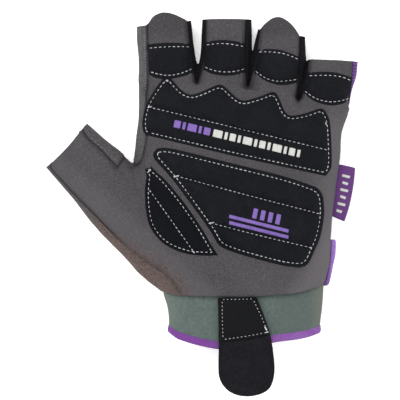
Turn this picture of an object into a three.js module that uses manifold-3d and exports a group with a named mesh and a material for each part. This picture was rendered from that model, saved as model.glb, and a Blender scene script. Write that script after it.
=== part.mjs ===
// A half-finger weightlifting glove for the left hand, lying palm up on its back.
// Millimetres. +Z is up, out of the palm, +Y runs towards the fingers and +X towards the little finger.
// The origin lies on the surface that the glove rests on, under the middle of the palm.
import * as THREE from "three";
import { mergeVertices } from "three/addons/utils/BufferGeometryUtils.js";
import Module from "manifold-3d";

const wasm = await Module();
wasm.setup();

// The hand
const PALM_WIDTH = 97;
const PALM_LENGTH = 97;
const PALM_HEIGHT = 26;
const THUMB_LENGTH = 28.7;
const THUMB_WIDTH = 27.3;
const THUMB_HEIGHT = 18;
const THUMB_ANGLE = 136;
const FINGER_HEIGHT = 17;
const INDEX_LENGTH = 28.6;
const MIDDLE_LENGTH = 30.3;
const RING_LENGTH = 29.3;
const LITTLE_LENGTH = 22.2;
const INDEX_WIDTH = 24.8;
const MIDDLE_WIDTH = 21.8;
const RING_WIDTH = 21;
const LITTLE_WIDTH = 22.6;
const INDEX_TAB = 5.1;
const RING_TAB = 7.2;

// Cloth, seams and the cuff
const WALL = 1.4;
const SEAM_GAP = 0.3;
const SIDE_SEAM_HEIGHT = 10;
const BACK_SEAM_HEIGHT = 3;
const CUFF_LENGTH = 19.5;
const CUFF_WIDTH = 71;
const CUFF_HEIGHT = 23;
const CUFF_WALL = 2;
const CUFF_LAP = 4;
const CUFF_DIP = 6;
const BINDING_WIDTH = 3.4;
const BINDING_WALL = 0.9;

// Pads, strap, label and tab
const PAD_THICKNESS = 2.8;
const FINGER_PAD_THICKNESS = 1.9;
const PAD_RIM = 1.3;
const PAD_RIM_THICKNESS = 1;
const PAD_SLOPE = 1.1;
const STITCH_GROOVE = 0.7;
const STRAP_LENGTH = 47.3;
const STRAP_WIDTH = 26;
const STRAP_THICKNESS = 2.2;
const STRAP_DROOP = 11;
const PATCH_LENGTH = 18;
const PATCH_THICKNESS = 1;
const LABEL_THICKNESS = 0.9;
const TAB_THICKNESS = 2;

// How finely the cloth is faceted, and a height above everything, where cutting prisms end
const SIDES_OF_HAND = 36;
const SIDES_OF_FINGER = 26;
const TAB_STEPS = 12;
const ABOVE_ALL = 3 * PALM_HEIGHT;

// A section is a superellipse. MID is where its widest line lies, and SAG how far the cloth would reach
// towards the floor and beyond it, where the floor flattens it.
const ROUNDNESS = 2.5;
const MID = 0.42;
const SAG = 1.25;

const point = (x, y) => new THREE.Vector2(x, y);
const onPalm = ({ x, y }) => point(x * PALM_WIDTH, y * PALM_LENGTH);
const between = (a, b, share) => a.clone().lerp(b, share);
const turnedLeft = (v) => point(-v.y, v.x);
const direction = (degrees) =>
  point(Math.cos(THREE.MathUtils.degToRad(degrees)), Math.sin(THREE.MathUtils.degToRad(degrees)));

// Sections across the hand from the wrist hem to the finger bases, as shares of the palm's width, length
// and height. bow is how far the middle runs ahead of the ends, seam is where the front's left edge lies.
const PALM_SECTIONS = [
  { leftX: -0.352, leftY: -0.375, rightX: 0.422, rightY: -0.345, bow: -0.03, height: 0.9, seam: -1 },
  { leftX: -0.443, leftY: -0.227, rightX: 0.449, rightY: -0.247, bow: -0.015, height: 0.98, seam: -1 },
  { leftX: -0.479, leftY: -0.041, rightX: 0.463, rightY: -0.062, bow: 0, height: 1, seam: -1 },
  { leftX: -0.491, leftY: 0.124, rightX: 0.478, rightY: 0.113, bow: 0, height: 1, seam: -1 },
  { leftX: -0.494, leftY: 0.268, rightX: 0.504, rightY: 0.278, bow: 0.01, height: 0.97, seam: -0.95 },
  { leftX: -0.468, leftY: 0.433, rightX: 0.518, rightY: 0.402, bow: 0.03, height: 0.86, seam: -0.94 },
  { leftX: -0.466, leftY: 0.629, rightX: 0.535, rightY: 0.485, bow: 0.067, height: 0.66, seam: -0.92 },
];

// Where the finger bases meet on the last palm section, from -1 at the index side to 1
const FINGER_DIVISIONS = [-1, -0.467, 0.04, 0.525, 1];

// lean turns a finger towards the little finger's side, skew turns its cut end, both in degrees. The
// front's seams are shares of the half width, left on the index side, at the base and at the tip.
const FINGERS = [
  { name: "index", length: INDEX_LENGTH, width: INDEX_WIDTH, lean: -3.7, skew: 6, tab: INDEX_TAB,
    leftBase: 0.7, leftTip: 0.6, rightBase: 0.93, rightTip: 0.86 },
  { name: "middle", length: MIDDLE_LENGTH, width: MIDDLE_WIDTH, lean: 5.5, skew: 0, tab: 0,
    leftBase: 0.9, leftTip: 0.9, rightBase: 0.9, rightTip: 0.74 },
  { name: "ring", length: RING_LENGTH, width: RING_WIDTH, lean: 8.6, skew: -9.6, tab: RING_TAB,
    leftBase: 0.9, leftTip: 0.87, rightBase: 0.9, rightTip: 0.8 },
  { name: "little", length: LITTLE_LENGTH, width: LITTLE_WIDTH, lean: 13.8, skew: -2.5, tab: 0,
    leftBase: 0.9, leftTip: 0.9, rightBase: 1.05, rightTip: 0.82 },
];

// The waist is where a finger has taken most of its tip's width, and the root lies inside the palm.
const WAIST = 0.34;
const WAIST_SHARE = 0.62;
const ROOT_DEPTH = 0.5;
const ROOT_SINK = 0.62;
const ROOT_NARROWING = 0.12;

// The pull tabs' outline, and how far the cloth tube under a tab runs on, as a multiple of the tab.
const TAB_ROUNDNESS = 0.8;
const TAB_ROOM = 2;

// Sections along the thumb, from the wrist to the notch beside the palm, as shares of the palm. outer is
// the free side, inner the side towards the palm, and a seam is a share of the half width.
const THUMB_SECTIONS = [
  { outerX: -0.352, outerY: -0.375, innerX: 0, innerY: -0.37, height: 1.05, outerSeam: 0.5 },
  { outerX: -0.423, outerY: -0.32, innerX: -0.1, innerY: -0.23, height: 1.1, outerSeam: 0.6 },
  { outerX: -0.511, outerY: -0.237, innerX: -0.21, innerY: -0.04, height: 1.14, outerSeam: 0.7 },
  { outerX: -0.608, outerY: -0.136, innerX: -0.36, innerY: 0.1, height: 1.14, outerSeam: 0.76 },
  { outerX: -0.706, outerY: -0.019, innerX: -0.52, innerY: 0.268, height: 1.08, outerSeam: 0.84 },
];
const THUMB_NOTCH_SEAM = 0.68;
const THUMB_SEAM = 0.74;
const THUMB_OUTER_SEAM = 0.92;

// The line on the back where the thumb's own cloth ends, across the palm sections from the notch down
const THUMB_BORDER = [
  { section: 4, across: -0.965 },
  { section: 3, across: -0.86 },
  { section: 2, across: -0.76 },
  { section: 1, across: -0.7 },
  { section: 0, across: -0.62 },
];

// Stitch lines of the pads on the palm, as shares of the palm's width and length
const KNUCKLE_PAD = [
  { x: -0.44, y: 0.413 },
  { x: -0.425, y: 0.528 },
  { x: -0.333, y: 0.653 },
  { x: -0.261, y: 0.592 },
  { x: -0.209, y: 0.566 },
  { x: -0.076, y: 0.616 },
  { x: 0.034, y: 0.535 },
  { x: 0.184, y: 0.58 },
  { x: 0.233, y: 0.484 },
  { x: 0.27, y: 0.463 },
  { x: 0.416, y: 0.497 },
  { x: 0.443, y: 0.438 },
  { x: 0.45, y: 0.308 },
  { x: 0.445, y: 0.226 },
  { x: 0.425, y: 0.209 },
];
const KNUCKLE_GROOVES = [{ from: { x: -0.5, y: 0.542 }, to: { x: 0.5, y: 0.3 } }];
const PALM_PAD = [
  { x: -0.382, y: 0.301 },
  { x: 0.391, y: 0.107 },
  { x: 0.405, y: 0.065 },
  { x: 0.401, y: 0 },
  { x: 0.391, y: -0.078 },
  { x: 0.362, y: -0.159 },
  { x: 0.327, y: -0.227 },
  { x: 0.281, y: -0.232 },
  { x: 0.132, y: -0.201 },
  { x: -0.069, y: -0.13 },
  { x: -0.141, y: -0.033 },
  { x: -0.219, y: 0.091 },
  { x: -0.29, y: 0.185 },
];
const PALM_GROOVES = [
  { from: { x: -0.33, y: 0.199 }, to: { x: 0.45, y: -0.007 } },
  { from: { x: -0.18, y: -0.023 }, to: { x: 0.4, y: -0.166 } },
];
const THUMB_PAD = [
  { x: -0.429, y: 0.225 },
  { x: -0.389, y: 0.188 },
  { x: -0.337, y: 0.13 },
  { x: -0.281, y: 0.058 },
  { x: -0.201, y: -0.059 },
  { x: -0.13, y: -0.175 },
  { x: -0.176, y: -0.176 },
  { x: -0.241, y: -0.167 },
  { x: -0.305, y: -0.141 },
  { x: -0.353, y: -0.11 },
  { x: -0.389, y: -0.073 },
  { x: -0.413, y: -0.018 },
  { x: -0.424, y: 0.054 },
  { x: -0.424, y: 0.122 },
];
const THUMB_GROOVES = [{ from: { x: -0.45, y: 0.165 }, to: { x: -0.18, y: -0.224 } }];

// Edges of the finger pads, as shares of a finger's length; the lower edge sags in the middle.
const FINGER_PADS = [
  { finger: 0, top: 0.645, lowLeft: 0.13, lowMiddle: 0.07, lowRight: 0.15 },
  { finger: 1, top: 0.66, lowLeft: 0.22, lowMiddle: 0.15, lowRight: 0.2 },
  { finger: 2, top: 0.66, lowLeft: 0.2, lowMiddle: 0.13, lowRight: 0.24 },
  { finger: 3, top: 0.66, lowLeft: 0.1, lowMiddle: 0, lowRight: 0.22 },
];

// Edges of the strap along its length, as shares of its width from the middle of its free end
const STRAP_MIDDLE = 0.05;
const STRAP_SECTIONS = [
  { along: 0, left: -0.52, right: 0.18 },
  { along: 0.17, left: -0.52, right: 0.3 },
  { along: 0.36, left: -0.51, right: 0.43 },
  { along: 0.5, left: -0.5, right: 0.48 },
  { along: 0.66, left: -0.51, right: 0.5 },
  { along: 0.79, left: -0.49, right: 0.49 },
  { along: 0.89, left: -0.38, right: 0.42 },
  { along: 0.96, left: -0.22, right: 0.28 },
  { along: 1, left: -0.05, right: 0.13 },
];

// The woven label and the wrist tab at the little finger's side, as shares of the palm
const LABEL_SECTIONS = [
  { y: 0.242, innerX: 0.47, outerX: 0.583 },
  { y: 0.17, innerX: 0.46, outerX: 0.577 },
  { y: 0.1, innerX: 0.45, outerX: 0.564 },
  { y: 0.03, innerX: 0.44, outerX: 0.546 },
  { y: -0.02, innerX: 0.43, outerX: 0.53 },
];
const TAB_OUTLINE = [
  { x: 0.44, y: -0.118 },
  { x: 0.49, y: -0.135 },
  { x: 0.5, y: -0.25 },
  { x: 0.46, y: -0.335 },
  { x: 0.41, y: -0.345 },
  { x: 0.38, y: -0.2 },
];
const TAB_LOW = 0.15;
const TAB_HIGH = 0.5;

// The strap's patch is narrower than the strap by this share of its width on each side.
const PATCH_MARGIN = 0.03;

// The outer corners of the region that is cut off as the thumb's own back, as shares of the palm
const THUMB_SIDE_CORNERS = [
  { x: -0.3, y: -0.7 },
  { x: -1.2, y: -0.7 },
  { x: -1.2, y: 0.7 },
  { x: -0.56, y: 0.45 },
];

// Cutting outlines run past the cloth: past the hand's side, past a finger's tip, and past the little
// finger's side at its base and tip, each as a share of the half width or the length.
const PAST_SIDE = 1.15;
const PAST_TIP = 1.3;
const PAST_STRIP_BASE = 1.4;
const PAST_STRIP_TIP = 1.6;

// Where the cuff's middle section lies between the hem and the cuff's edge
const CUFF_MIDDLE = 0.4;

// A moved outline's corner runs out by at most its distance over this.
const SHARPEST_CORNER = 0.6;

// A station is one section of a tube: the two ends of its line seen from above, and its heights.
function station(left, right, top, { bow = 0, floor = 0, mid = MID * top } = {}) {
  return { left, right, top, bow, floor, mid };
}

// A point of a station's line seen from above; across runs from -1 at its left to 1 at its right.
function pointAcross(s, across, inset = 0) {
  const along = s.right.clone().sub(s.left);
  const half = along.length() / 2;
  along.normalize();
  return between(s.left, s.right, 0.5)
    .addScaledVector(along, across * (half - inset))
    .addScaledVector(turnedLeft(along), s.bow * (1 - across * across));
}

// A station moved along its tube, away from its neighbour.
function moved(end, neighbour, distance) {
  const shift = between(end.left, end.right, 0.5)
    .sub(between(neighbour.left, neighbour.right, 0.5))
    .setLength(distance);
  return { ...end, left: end.left.clone().add(shift), right: end.right.clone().add(shift) };
}

function stationBetween(a, b, share) {
  const mixed = (key) => THREE.MathUtils.lerp(a[key], b[key], share);
  return station(between(a.left, b.left, share), between(a.right, b.right, share), mixed("top"), {
    bow: mixed("bow"),
    floor: mixed("floor"),
    mid: mixed("mid"),
  });
}

const palm = PALM_SECTIONS.map((row) =>
  station(
    onPalm({ x: row.leftX, y: row.leftY }),
    onPalm({ x: row.rightX, y: row.rightY }),
    row.height * PALM_HEIGHT,
    { bow: row.bow * PALM_LENGTH },
  ),
);
const hem = palm[0];
const knuckles = palm[palm.length - 1];

const fingers = FINGERS.map((finger, i) => {
  const leftBase = pointAcross(knuckles, FINGER_DIVISIONS[i]);
  const rightBase = pointAcross(knuckles, FINGER_DIVISIONS[i + 1]);
  const axis = direction(90 - finger.lean);
  const tip = between(leftBase, rightBase, 0.5).addScaledVector(axis, finger.length);
  const halfTip = direction(finger.skew).multiplyScalar(finger.width / 2);
  const base = station(leftBase, rightBase, FINGER_HEIGHT);
  const end = station(tip.clone().sub(halfTip), tip.clone().add(halfTip), FINGER_HEIGHT);
  return { ...finger, axis, base, end };
});

// A finger's section at a share of its length from the base
function fingerSection(finger, share) {
  const late = WAIST_SHARE + ((1 - WAIST_SHARE) * (share - WAIST)) / (1 - WAIST);
  const taken = share < WAIST ? (share / WAIST) * WAIST_SHARE : late;
  const straight = stationBetween(finger.base, finger.end, share);
  const shaped = stationBetween(finger.base, finger.end, taken);
  const shift = pointAcross(straight, 0).sub(pointAcross(shaped, 0));
  return station(shaped.left.add(shift), shaped.right.add(shift), FINGER_HEIGHT);
}

function onFinger(finger, across, share) {
  return pointAcross(fingerSection(finger, share), across);
}

function fingerStations(finger, withTab) {
  const root = moved(fingerSection(finger, 0), fingerSection(finger, 1), ROOT_DEPTH * finger.length);
  const rootEnds = [ROOT_NARROWING, 1 - ROOT_NARROWING];
  const narrowed = rootEnds.map((share) => between(root.left, root.right, share));
  const sunk = station(...narrowed, ROOT_SINK * FINGER_HEIGHT);
  const stations = [sunk, ...[0, WAIST, 1].map((share) => fingerSection(finger, share))];
  if (withTab && finger.tab > 0) {
    stations.push(moved(stations[3], stations[2], TAB_ROOM * finger.tab));
  }
  return stations;
}

const thumbRoot = THUMB_SECTIONS.map((row) =>
  station(
    onPalm({ x: row.outerX, y: row.outerY }),
    onPalm({ x: row.innerX, y: row.innerY }),
    row.height * THUMB_HEIGHT,
  ),
);
const notch = thumbRoot[thumbRoot.length - 1];
const thumbAxis = direction(THUMB_ANGLE);
const thumbTipMiddle = pointAcross(notch, 0).addScaledVector(thumbAxis, THUMB_LENGTH);
const thumbHalfTip = turnedLeft(thumbAxis).multiplyScalar(THUMB_WIDTH / 2);
const thumbTip = station(
  thumbTipMiddle.clone().add(thumbHalfTip),
  thumbTipMiddle.clone().sub(thumbHalfTip),
  THUMB_HEIGHT,
);
const thumbWaist = stationBetween(notch, thumbTip, 0.5);
const thumb = [...thumbRoot, thumbWaist, thumbTip];

// The cuff's sections run on from the hem's, at the hand's outer size, and the cuff lies inset in them.
const CUFF_INSET = WALL + SEAM_GAP;
const BINDING_ROOM = SEAM_GAP + BINDING_WALL;

function cuffStations() {
  const middle = between(hem.left, hem.right, 0.5);
  const half = CUFF_WIDTH / 2;
  const end = station(
    middle.clone().add(point(-half, -CUFF_LENGTH)),
    middle.clone().add(point(half, -CUFF_LENGTH)),
    CUFF_HEIGHT,
    { bow: -CUFF_DIP, floor: BINDING_ROOM - CUFF_INSET, mid: hem.mid },
  );
  const lap = moved(hem, end, CUFF_LAP);
  const below = { ...stationBetween(hem, end, CUFF_MIDDLE), floor: end.floor };
  return [lap, hem, below, end];
}

const cuff = cuffStations();
const cuffEnd = cuff[3];

// A closed solid from a three.js geometry, facing outwards
function solidFrom(geometry) {
  geometry.deleteAttribute("normal");
  geometry.deleteAttribute("uv");
  const merged = mergeVertices(geometry, 1e-4);
  const vertProperties = new Float32Array(merged.attributes.position.array);
  const triVerts = new Uint32Array(merged.index.array);
  const corner = (i) => new THREE.Vector3().fromArray(vertProperties, 3 * triVerts[i]);
  let volume = 0;
  for (let i = 0; i < triVerts.length; i += 3) {
    volume += corner(i).dot(corner(i + 1).cross(corner(i + 2)));
  }
  if (volume < 0) triVerts.reverse();
  return new wasm.Manifold(new wasm.Mesh({ numProp: 3, vertProperties, triVerts }));
}

// A solid skin through rings of points that all have the same even count. Its ends are closed by strips
// from side to side, so that a bowed ring gets an end that bows as it does.
function skinned(rings) {
  const sides = rings[0].length;
  const last = rings.length - 1;
  const faces = [];
  for (let r = 0; r < last; r += 1) {
    for (let i = 0; i < sides; i += 1) {
      const a = r * sides + i;
      const b = r * sides + ((i + 1) % sides);
      faces.push(a, b, b + sides, a, b + sides, a + sides);
    }
  }
  for (let i = 0; i < sides / 2; i += 1) {
    const [a, b, c, d] = [i, i + 1, sides - i - 1, (sides - i) % sides];
    const end = last * sides;
    if (b !== c) faces.push(c, b, a, end + a, end + b, end + c);
    if (d !== a) faces.push(d, c, a, end + a, end + c, end + d);
  }
  const geometry = new THREE.BufferGeometry().setFromPoints(rings.flat());
  geometry.setIndex(faces);
  return solidFrom(geometry);
}

// A tube through the stations, closed at both ends. inset makes it smaller all round, and the reaches
// move its ends outwards.
function tube(stations, { inset = 0, sides = SIDES_OF_FINGER, startReach = 0, endReach = 0 } = {}) {
  const line = [...stations];
  const last = line.length - 1;
  if (startReach) line[0] = moved(line[0], line[1], startReach);
  if (endReach) line[last] = moved(line[last], line[last - 1], endReach);
  const rings = line.map((ring) =>
    Array.from({ length: sides }, (_, i) => {
      const angle = (2 * Math.PI * i) / sides;
      const c = Math.cos(angle);
      const s = Math.sin(angle);
      const across = Math.sign(c) * Math.abs(c) ** (2 / ROUNDNESS);
      const rise = Math.abs(s) ** (2 / ROUNDNESS);
      const top = ring.mid + (ring.top - inset - ring.mid) * rise;
      const bottom = Math.max(ring.floor + inset, ring.mid - (ring.mid * SAG - inset) * rise);
      const plan = pointAcross(ring, across, inset);
      return new THREE.Vector3(plan.x, plan.y, s >= 0 ? top : bottom);
    }),
  );
  return skinned(rings);
}

// A flat-sided band through cross sections, each from a left to a right point between two heights
function band(sections) {
  return skinned(
    sections.map(({ left, right, low, high }) => [
      new THREE.Vector3(left.x, left.y, low),
      new THREE.Vector3(right.x, right.y, low),
      new THREE.Vector3(right.x, right.y, high),
      new THREE.Vector3(left.x, left.y, high),
    ]),
  );
}

// An upright prism over an outline seen from above
function prism(outline, low = -ABOVE_ALL, high = ABOVE_ALL) {
  const geometry = new THREE.ExtrudeGeometry(new THREE.Shape(outline), {
    depth: high - low,
    bevelEnabled: false,
  });
  return solidFrom(geometry.translate(0, 0, low));
}

// An outline moved outwards by a distance, or inwards if it is negative
function grown(outline, distance) {
  const turn = THREE.ShapeUtils.isClockWise(outline) ? 1 : -1;
  return outline.map((corner, i) => {
    const before = outline[(i + outline.length - 1) % outline.length];
    const after = outline[(i + 1) % outline.length];
    const normalIn = turnedLeft(corner.clone().sub(before).normalize());
    const normalOut = turnedLeft(after.clone().sub(corner).normalize());
    const normal = normalIn.add(normalOut).normalize();
    const stretch = Math.max(SHARPEST_CORNER, Math.abs(normal.dot(normalOut)));
    return corner.clone().addScaledVector(normal, (turn * distance) / stretch);
  });
}

const union = (solids) => solids.reduce((all, next) => all.add(next));

// The hand's form: outside as it is, moved inwards by an inset, or outwards where that is negative
function handForm(inset = 0, { hollow = false, withTabs = false } = {}) {
  const mouth = hollow ? 3 * WALL : 0;
  return union([
    tube(palm, { inset, sides: SIDES_OF_HAND, startReach: mouth, endReach: hollow ? -WALL : 0 }),
    tube(thumb, { inset, startReach: mouth, endReach: mouth }),
    ...fingers.map((finger) => tube(fingerStations(finger, withTabs), { inset, endReach: mouth })),
  ]);
}

const shell = handForm().subtract(handForm(WALL, { hollow: true }));
const shellWithTabs = handForm(0, { withTabs: true }).subtract(
  handForm(WALL, { hollow: true, withTabs: true }),
);
const formToCoat = handForm(-SEAM_GAP);

// The free end of a finger's front, from its right to its left, straight or drawn out into a pull tab
function fingerFrontEnd(finger) {
  const from = onFinger(finger, finger.rightTip, 1);
  const to = onFinger(finger, -finger.leftTip, 1);
  const reach = (share) => Math.sin(Math.PI * share) ** TAB_ROUNDNESS * finger.tab;
  if (finger.tab <= 0) return [from, to].map((p) => p.addScaledVector(finger.axis, WALL));
  return Array.from({ length: TAB_STEPS + 1 }, (_, i) => {
    const share = i / TAB_STEPS;
    return between(from, to, share).addScaledVector(finger.axis, Math.max(0, reach(share)));
  });
}

function fingerFront(finger) {
  return [
    onFinger(finger, finger.rightBase, 0),
    onFinger(finger, (finger.rightBase + finger.rightTip) / 2, WAIST),
    ...fingerFrontEnd(finger),
    onFinger(finger, -(finger.leftBase + finger.leftTip) / 2, WAIST),
    onFinger(finger, -finger.leftBase, 0),
  ];
}

// The front's outline runs from the wrist up the little finger's side, round the fingers from little to
// index, down to the notch and round the thumb.
function frontOutline() {
  const rightSide = palm.map((s) => pointAcross(s, PAST_SIDE));
  rightSide.unshift(rightSide[0].clone().add(point(0, -CUFF_LENGTH)));
  const leftSide = [6, 5, 4].map((i) => pointAcross(palm[i], PALM_SECTIONS[i].seam));
  const pastTip = thumbAxis.clone().multiplyScalar(WALL);
  const thumbSide = [
    pointAcross(notch, THUMB_NOTCH_SEAM),
    pointAcross(thumbWaist, THUMB_SEAM),
    pointAcross(thumbTip, THUMB_SEAM).add(pastTip),
    pointAcross(thumbTip, -THUMB_OUTER_SEAM).add(pastTip),
    pointAcross(thumbWaist, -THUMB_OUTER_SEAM),
  ];
  const rootSide = THUMB_SECTIONS.map((row, i) => pointAcross(thumbRoot[i], -row.outerSeam)).reverse();
  const wristEnd = rootSide[rootSide.length - 1].clone().add(point(0, -CUFF_LENGTH));
  const overFingers = [...fingers].reverse().flatMap(fingerFront);
  return [...rightSide, ...overFingers, ...leftSide, ...thumbSide, ...rootSide, wristEnd];
}

const front = frontOutline();
const frontCutter = prism(front, SIDE_SEAM_HEIGHT);
const frontRoom = prism(grown(front, SEAM_GAP), SIDE_SEAM_HEIGHT - SEAM_GAP);

// The region between two fingers, wide enough to hold both side walls down to the back's seam
function sideRegion(leftFinger, rightFinger) {
  const depth = 2 * WALL;
  const leftSide = (share, across) => onFinger(leftFinger, across - depth / leftFinger.width, share);
  const outline = [
    leftSide(PAST_TIP, leftFinger.rightTip),
    leftSide(WAIST, leftFinger.rightBase),
    leftSide(-WALL / leftFinger.length, leftFinger.rightBase),
  ];
  if (rightFinger) {
    const rightSide = (share, across) => onFinger(rightFinger, depth / rightFinger.width - across, share);
    outline.push(rightSide(-WALL / rightFinger.length, rightFinger.leftBase));
    outline.push(rightSide(WAIST, rightFinger.leftBase));
    outline.push(rightSide(PAST_TIP, rightFinger.leftTip));
  } else {
    outline.push(onFinger(leftFinger, PAST_STRIP_BASE, 0));
    outline.push(onFinger(leftFinger, PAST_STRIP_TIP, PAST_TIP));
  }
  return outline;
}

const fourchetteRegions = [0, 1, 2].map((i) => sideRegion(fingers[i], fingers[i + 1]));
const stripRegion = sideRegion(fingers[3], null);

const thumbRegion = [
  ...THUMB_BORDER.map(({ section, across }) => pointAcross(palm[section], across)),
  ...THUMB_SIDE_CORNERS.map(onPalm),
];

// A seam cuts the shell along a region's outline; the neighbour keeps a gap from it.
function sidePiece(region, low) {
  return shell.intersect(prism(region, low)).subtract(frontRoom);
}

const backRoom = union([
  frontRoom,
  ...[...fourchetteRegions, stripRegion].map((region) =>
    prism(grown(region, SEAM_GAP), BACK_SEAM_HEIGHT - SEAM_GAP),
  ),
  prism(grown(thumbRegion, SEAM_GAP)),
]);

// A padded patch: a thin rim inside its edge, and raised cells between its stitch lines
function pad(edge, thickness, grooves = [], keepOff = null) {
  const [whole, sloped, raisedPart] = [0, PAD_RIM + STITCH_GROOVE, PAD_RIM + STITCH_GROOVE + PAD_SLOPE].map(
    (shrink) => prism(grown(edge, -shrink), SIDE_SEAM_HEIGHT),
  );
  const layer = (height, plan) => handForm(-SEAM_GAP - height).intersect(plan);
  const rim = layer(PAD_RIM_THICKNESS, whole);
  const slope = layer((thickness + PAD_RIM_THICKNESS) / 2, sloped.intersect(whole));
  const top = layer(thickness, raisedPart.intersect(sloped).intersect(whole));
  const strips = (halfWidth) =>
    grooves.map(({ from, to }) => {
      const start = onPalm(from);
      const end = onPalm(to);
      const side = turnedLeft(end.clone().sub(start).setLength(halfWidth));
      return prism([
        start.clone().add(side),
        start.clone().sub(side),
        end.clone().sub(side),
        end.clone().add(side),
      ]);
    });
  const lowCells = strips(STITCH_GROOVE).reduce((cells, strip) => cells.subtract(strip), slope);
  const highCells = strips(STITCH_GROOVE + PAD_SLOPE).reduce((cells, strip) => cells.subtract(strip), top);
  const raised = rim.add(lowCells).add(highCells).subtract(formToCoat);
  return keepOff ? raised.subtract(keepOff) : raised;
}

const knuckleEdge = grown(KNUCKLE_PAD.map(onPalm), PAD_RIM);
const palmEdge = grown(PALM_PAD.map(onPalm), PAD_RIM);
const thumbPadEdge = grown(THUMB_PAD.map(onPalm), PAD_RIM);

function fingerPadEdge(row) {
  const finger = fingers[row.finger];
  const room = (2 * SEAM_GAP) / finger.width;
  const left = -(finger.leftBase + finger.leftTip) / 2 + room;
  const right = Math.min(1, (finger.rightBase + finger.rightTip) / 2) - room;
  const middle = (left + right) / 2;
  return [
    onFinger(finger, right, row.lowRight),
    onFinger(finger, right, row.top),
    onFinger(finger, left, row.top),
    onFinger(finger, left, row.lowLeft),
    onFinger(finger, (left + middle) / 2, (row.lowLeft + 3 * row.lowMiddle) / 4),
    onFinger(finger, middle, row.lowMiddle),
    onFinger(finger, (right + middle) / 2, (row.lowRight + 3 * row.lowMiddle) / 4),
  ];
}

// The binding folds round the cuff's edge: an outer layer, an inner layer and the fold between them.
function bindingRing() {
  const share = BINDING_WIDTH / CUFF_LENGTH;
  const start = stationBetween(cuffEnd, cuff[2], share);
  const line = [start, cuffEnd];
  const sides = SIDES_OF_HAND;
  const outer = tube(line, { inset: CUFF_INSET - BINDING_ROOM, sides, endReach: BINDING_ROOM });
  const innerInset = CUFF_INSET + CUFF_WALL + BINDING_ROOM;
  const hollow = tube(line, { inset: innerInset, sides, startReach: WALL, endReach: 2 * BINDING_ROOM });
  const reach = { startReach: WALL, endReach: SEAM_GAP, sides };
  const roomForCuff = tube(line, { inset: CUFF_INSET - SEAM_GAP, ...reach }).subtract(
    tube(line, { inset: CUFF_INSET + CUFF_WALL + SEAM_GAP, ...reach, endReach: 2 * BINDING_ROOM }),
  );
  return outer.subtract(hollow).subtract(roomForCuff);
}

const cuffTube = tube(cuff, { inset: CUFF_INSET, sides: SIDES_OF_HAND }).subtract(
  tube(cuff, { inset: CUFF_INSET + CUFF_WALL, sides: SIDES_OF_HAND, startReach: WALL, endReach: WALL }),
);

// The strap lies on the cuff from the hem, over the binding, and its free end droops below the wrist.
const strapMiddle = STRAP_MIDDLE * PALM_WIDTH;
const strapTopY = between(hem.left, hem.right, 0.5).y + hem.bow - SEAM_GAP;
const strapRest = Math.max(hem.top, CUFF_HEIGHT) - CUFF_INSET + BINDING_ROOM + SEAM_GAP;

function strapSection(row, low, thickness) {
  const y = strapTopY - row.along * STRAP_LENGTH;
  const left = point(strapMiddle + row.left * STRAP_WIDTH, y);
  const right = point(strapMiddle + row.right * STRAP_WIDTH, y);
  return { left, right, low, high: low + thickness };
}

function strapHeight(along) {
  const onCuff = (CUFF_LENGTH + CUFF_DIP) / STRAP_LENGTH;
  const past = Math.max(0, along - onCuff) / (1 - onCuff);
  return strapRest - STRAP_DROOP * past ** 1.5;
}

const strap = band(
  STRAP_SECTIONS.map((row) => strapSection(row, strapHeight(row.along), STRAP_THICKNESS)),
);
const patch = band(
  STRAP_SECTIONS.slice(0, 3).map((row) => {
    const along = (row.along / STRAP_SECTIONS[2].along) * (PATCH_LENGTH / STRAP_LENGTH);
    const low = strapRest + STRAP_THICKNESS + SEAM_GAP;
    const edges = { along, left: row.left + PATCH_MARGIN, right: row.right - PATCH_MARGIN };
    return strapSection(edges, low, PATCH_THICKNESS);
  }),
);

const label = band(
  LABEL_SECTIONS.map((row) => ({
    left: onPalm({ x: row.innerX, y: row.y }),
    right: onPalm({ x: row.outerX, y: row.y }),
    low: SIDE_SEAM_HEIGHT - LABEL_THICKNESS / 2,
    high: SIDE_SEAM_HEIGHT + LABEL_THICKNESS / 2,
  })),
).subtract(formToCoat);

const sideTab = handForm(-SEAM_GAP - TAB_THICKNESS)
  .subtract(formToCoat)
  .intersect(prism(TAB_OUTLINE.map(onPalm), TAB_LOW * PALM_HEIGHT, TAB_HIGH * PALM_HEIGHT));

// Parts and their materials
const SUEDE = { color: 0x5b585b, roughness: 0.95 };
const KNIT = { color: 0x68666a, roughness: 0.95 };
const FOLD_CLOTH = { color: 0x716059, roughness: 0.95 };
const STRETCH = { color: 0x242225, roughness: 0.9 };
const PAD_CLOTH = { color: 0x212227, roughness: 0.85 };
const CUFF_CLOTH = { color: 0x616e6b, roughness: 0.9 };
const PURPLE = { color: 0x85609d, roughness: 0.75 };
const LABEL_PURPLE = { color: 0x5f3278, roughness: 0.6 };
const LEATHER = { color: 0x1d1d21, roughness: 0.6 };
const TAPE = { color: 0x252429, roughness: 0.95 };

const group = new THREE.Group();
group.name = "weightlifting_glove";

function addPart(name, solid, look) {
  const mesh = solid.simplify(0.01).getMesh();
  const geometry = new THREE.BufferGeometry();
  geometry.setAttribute("position", new THREE.BufferAttribute(new Float32Array(mesh.vertProperties), 3));
  geometry.setIndex(new THREE.BufferAttribute(new Uint32Array(mesh.triVerts), 1));
  geometry.computeVertexNormals();
  const part = new THREE.Mesh(geometry, new THREE.MeshStandardMaterial({ ...look, name: `${name}_cloth` }));
  part.name = name;
  group.add(part);
}

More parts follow.
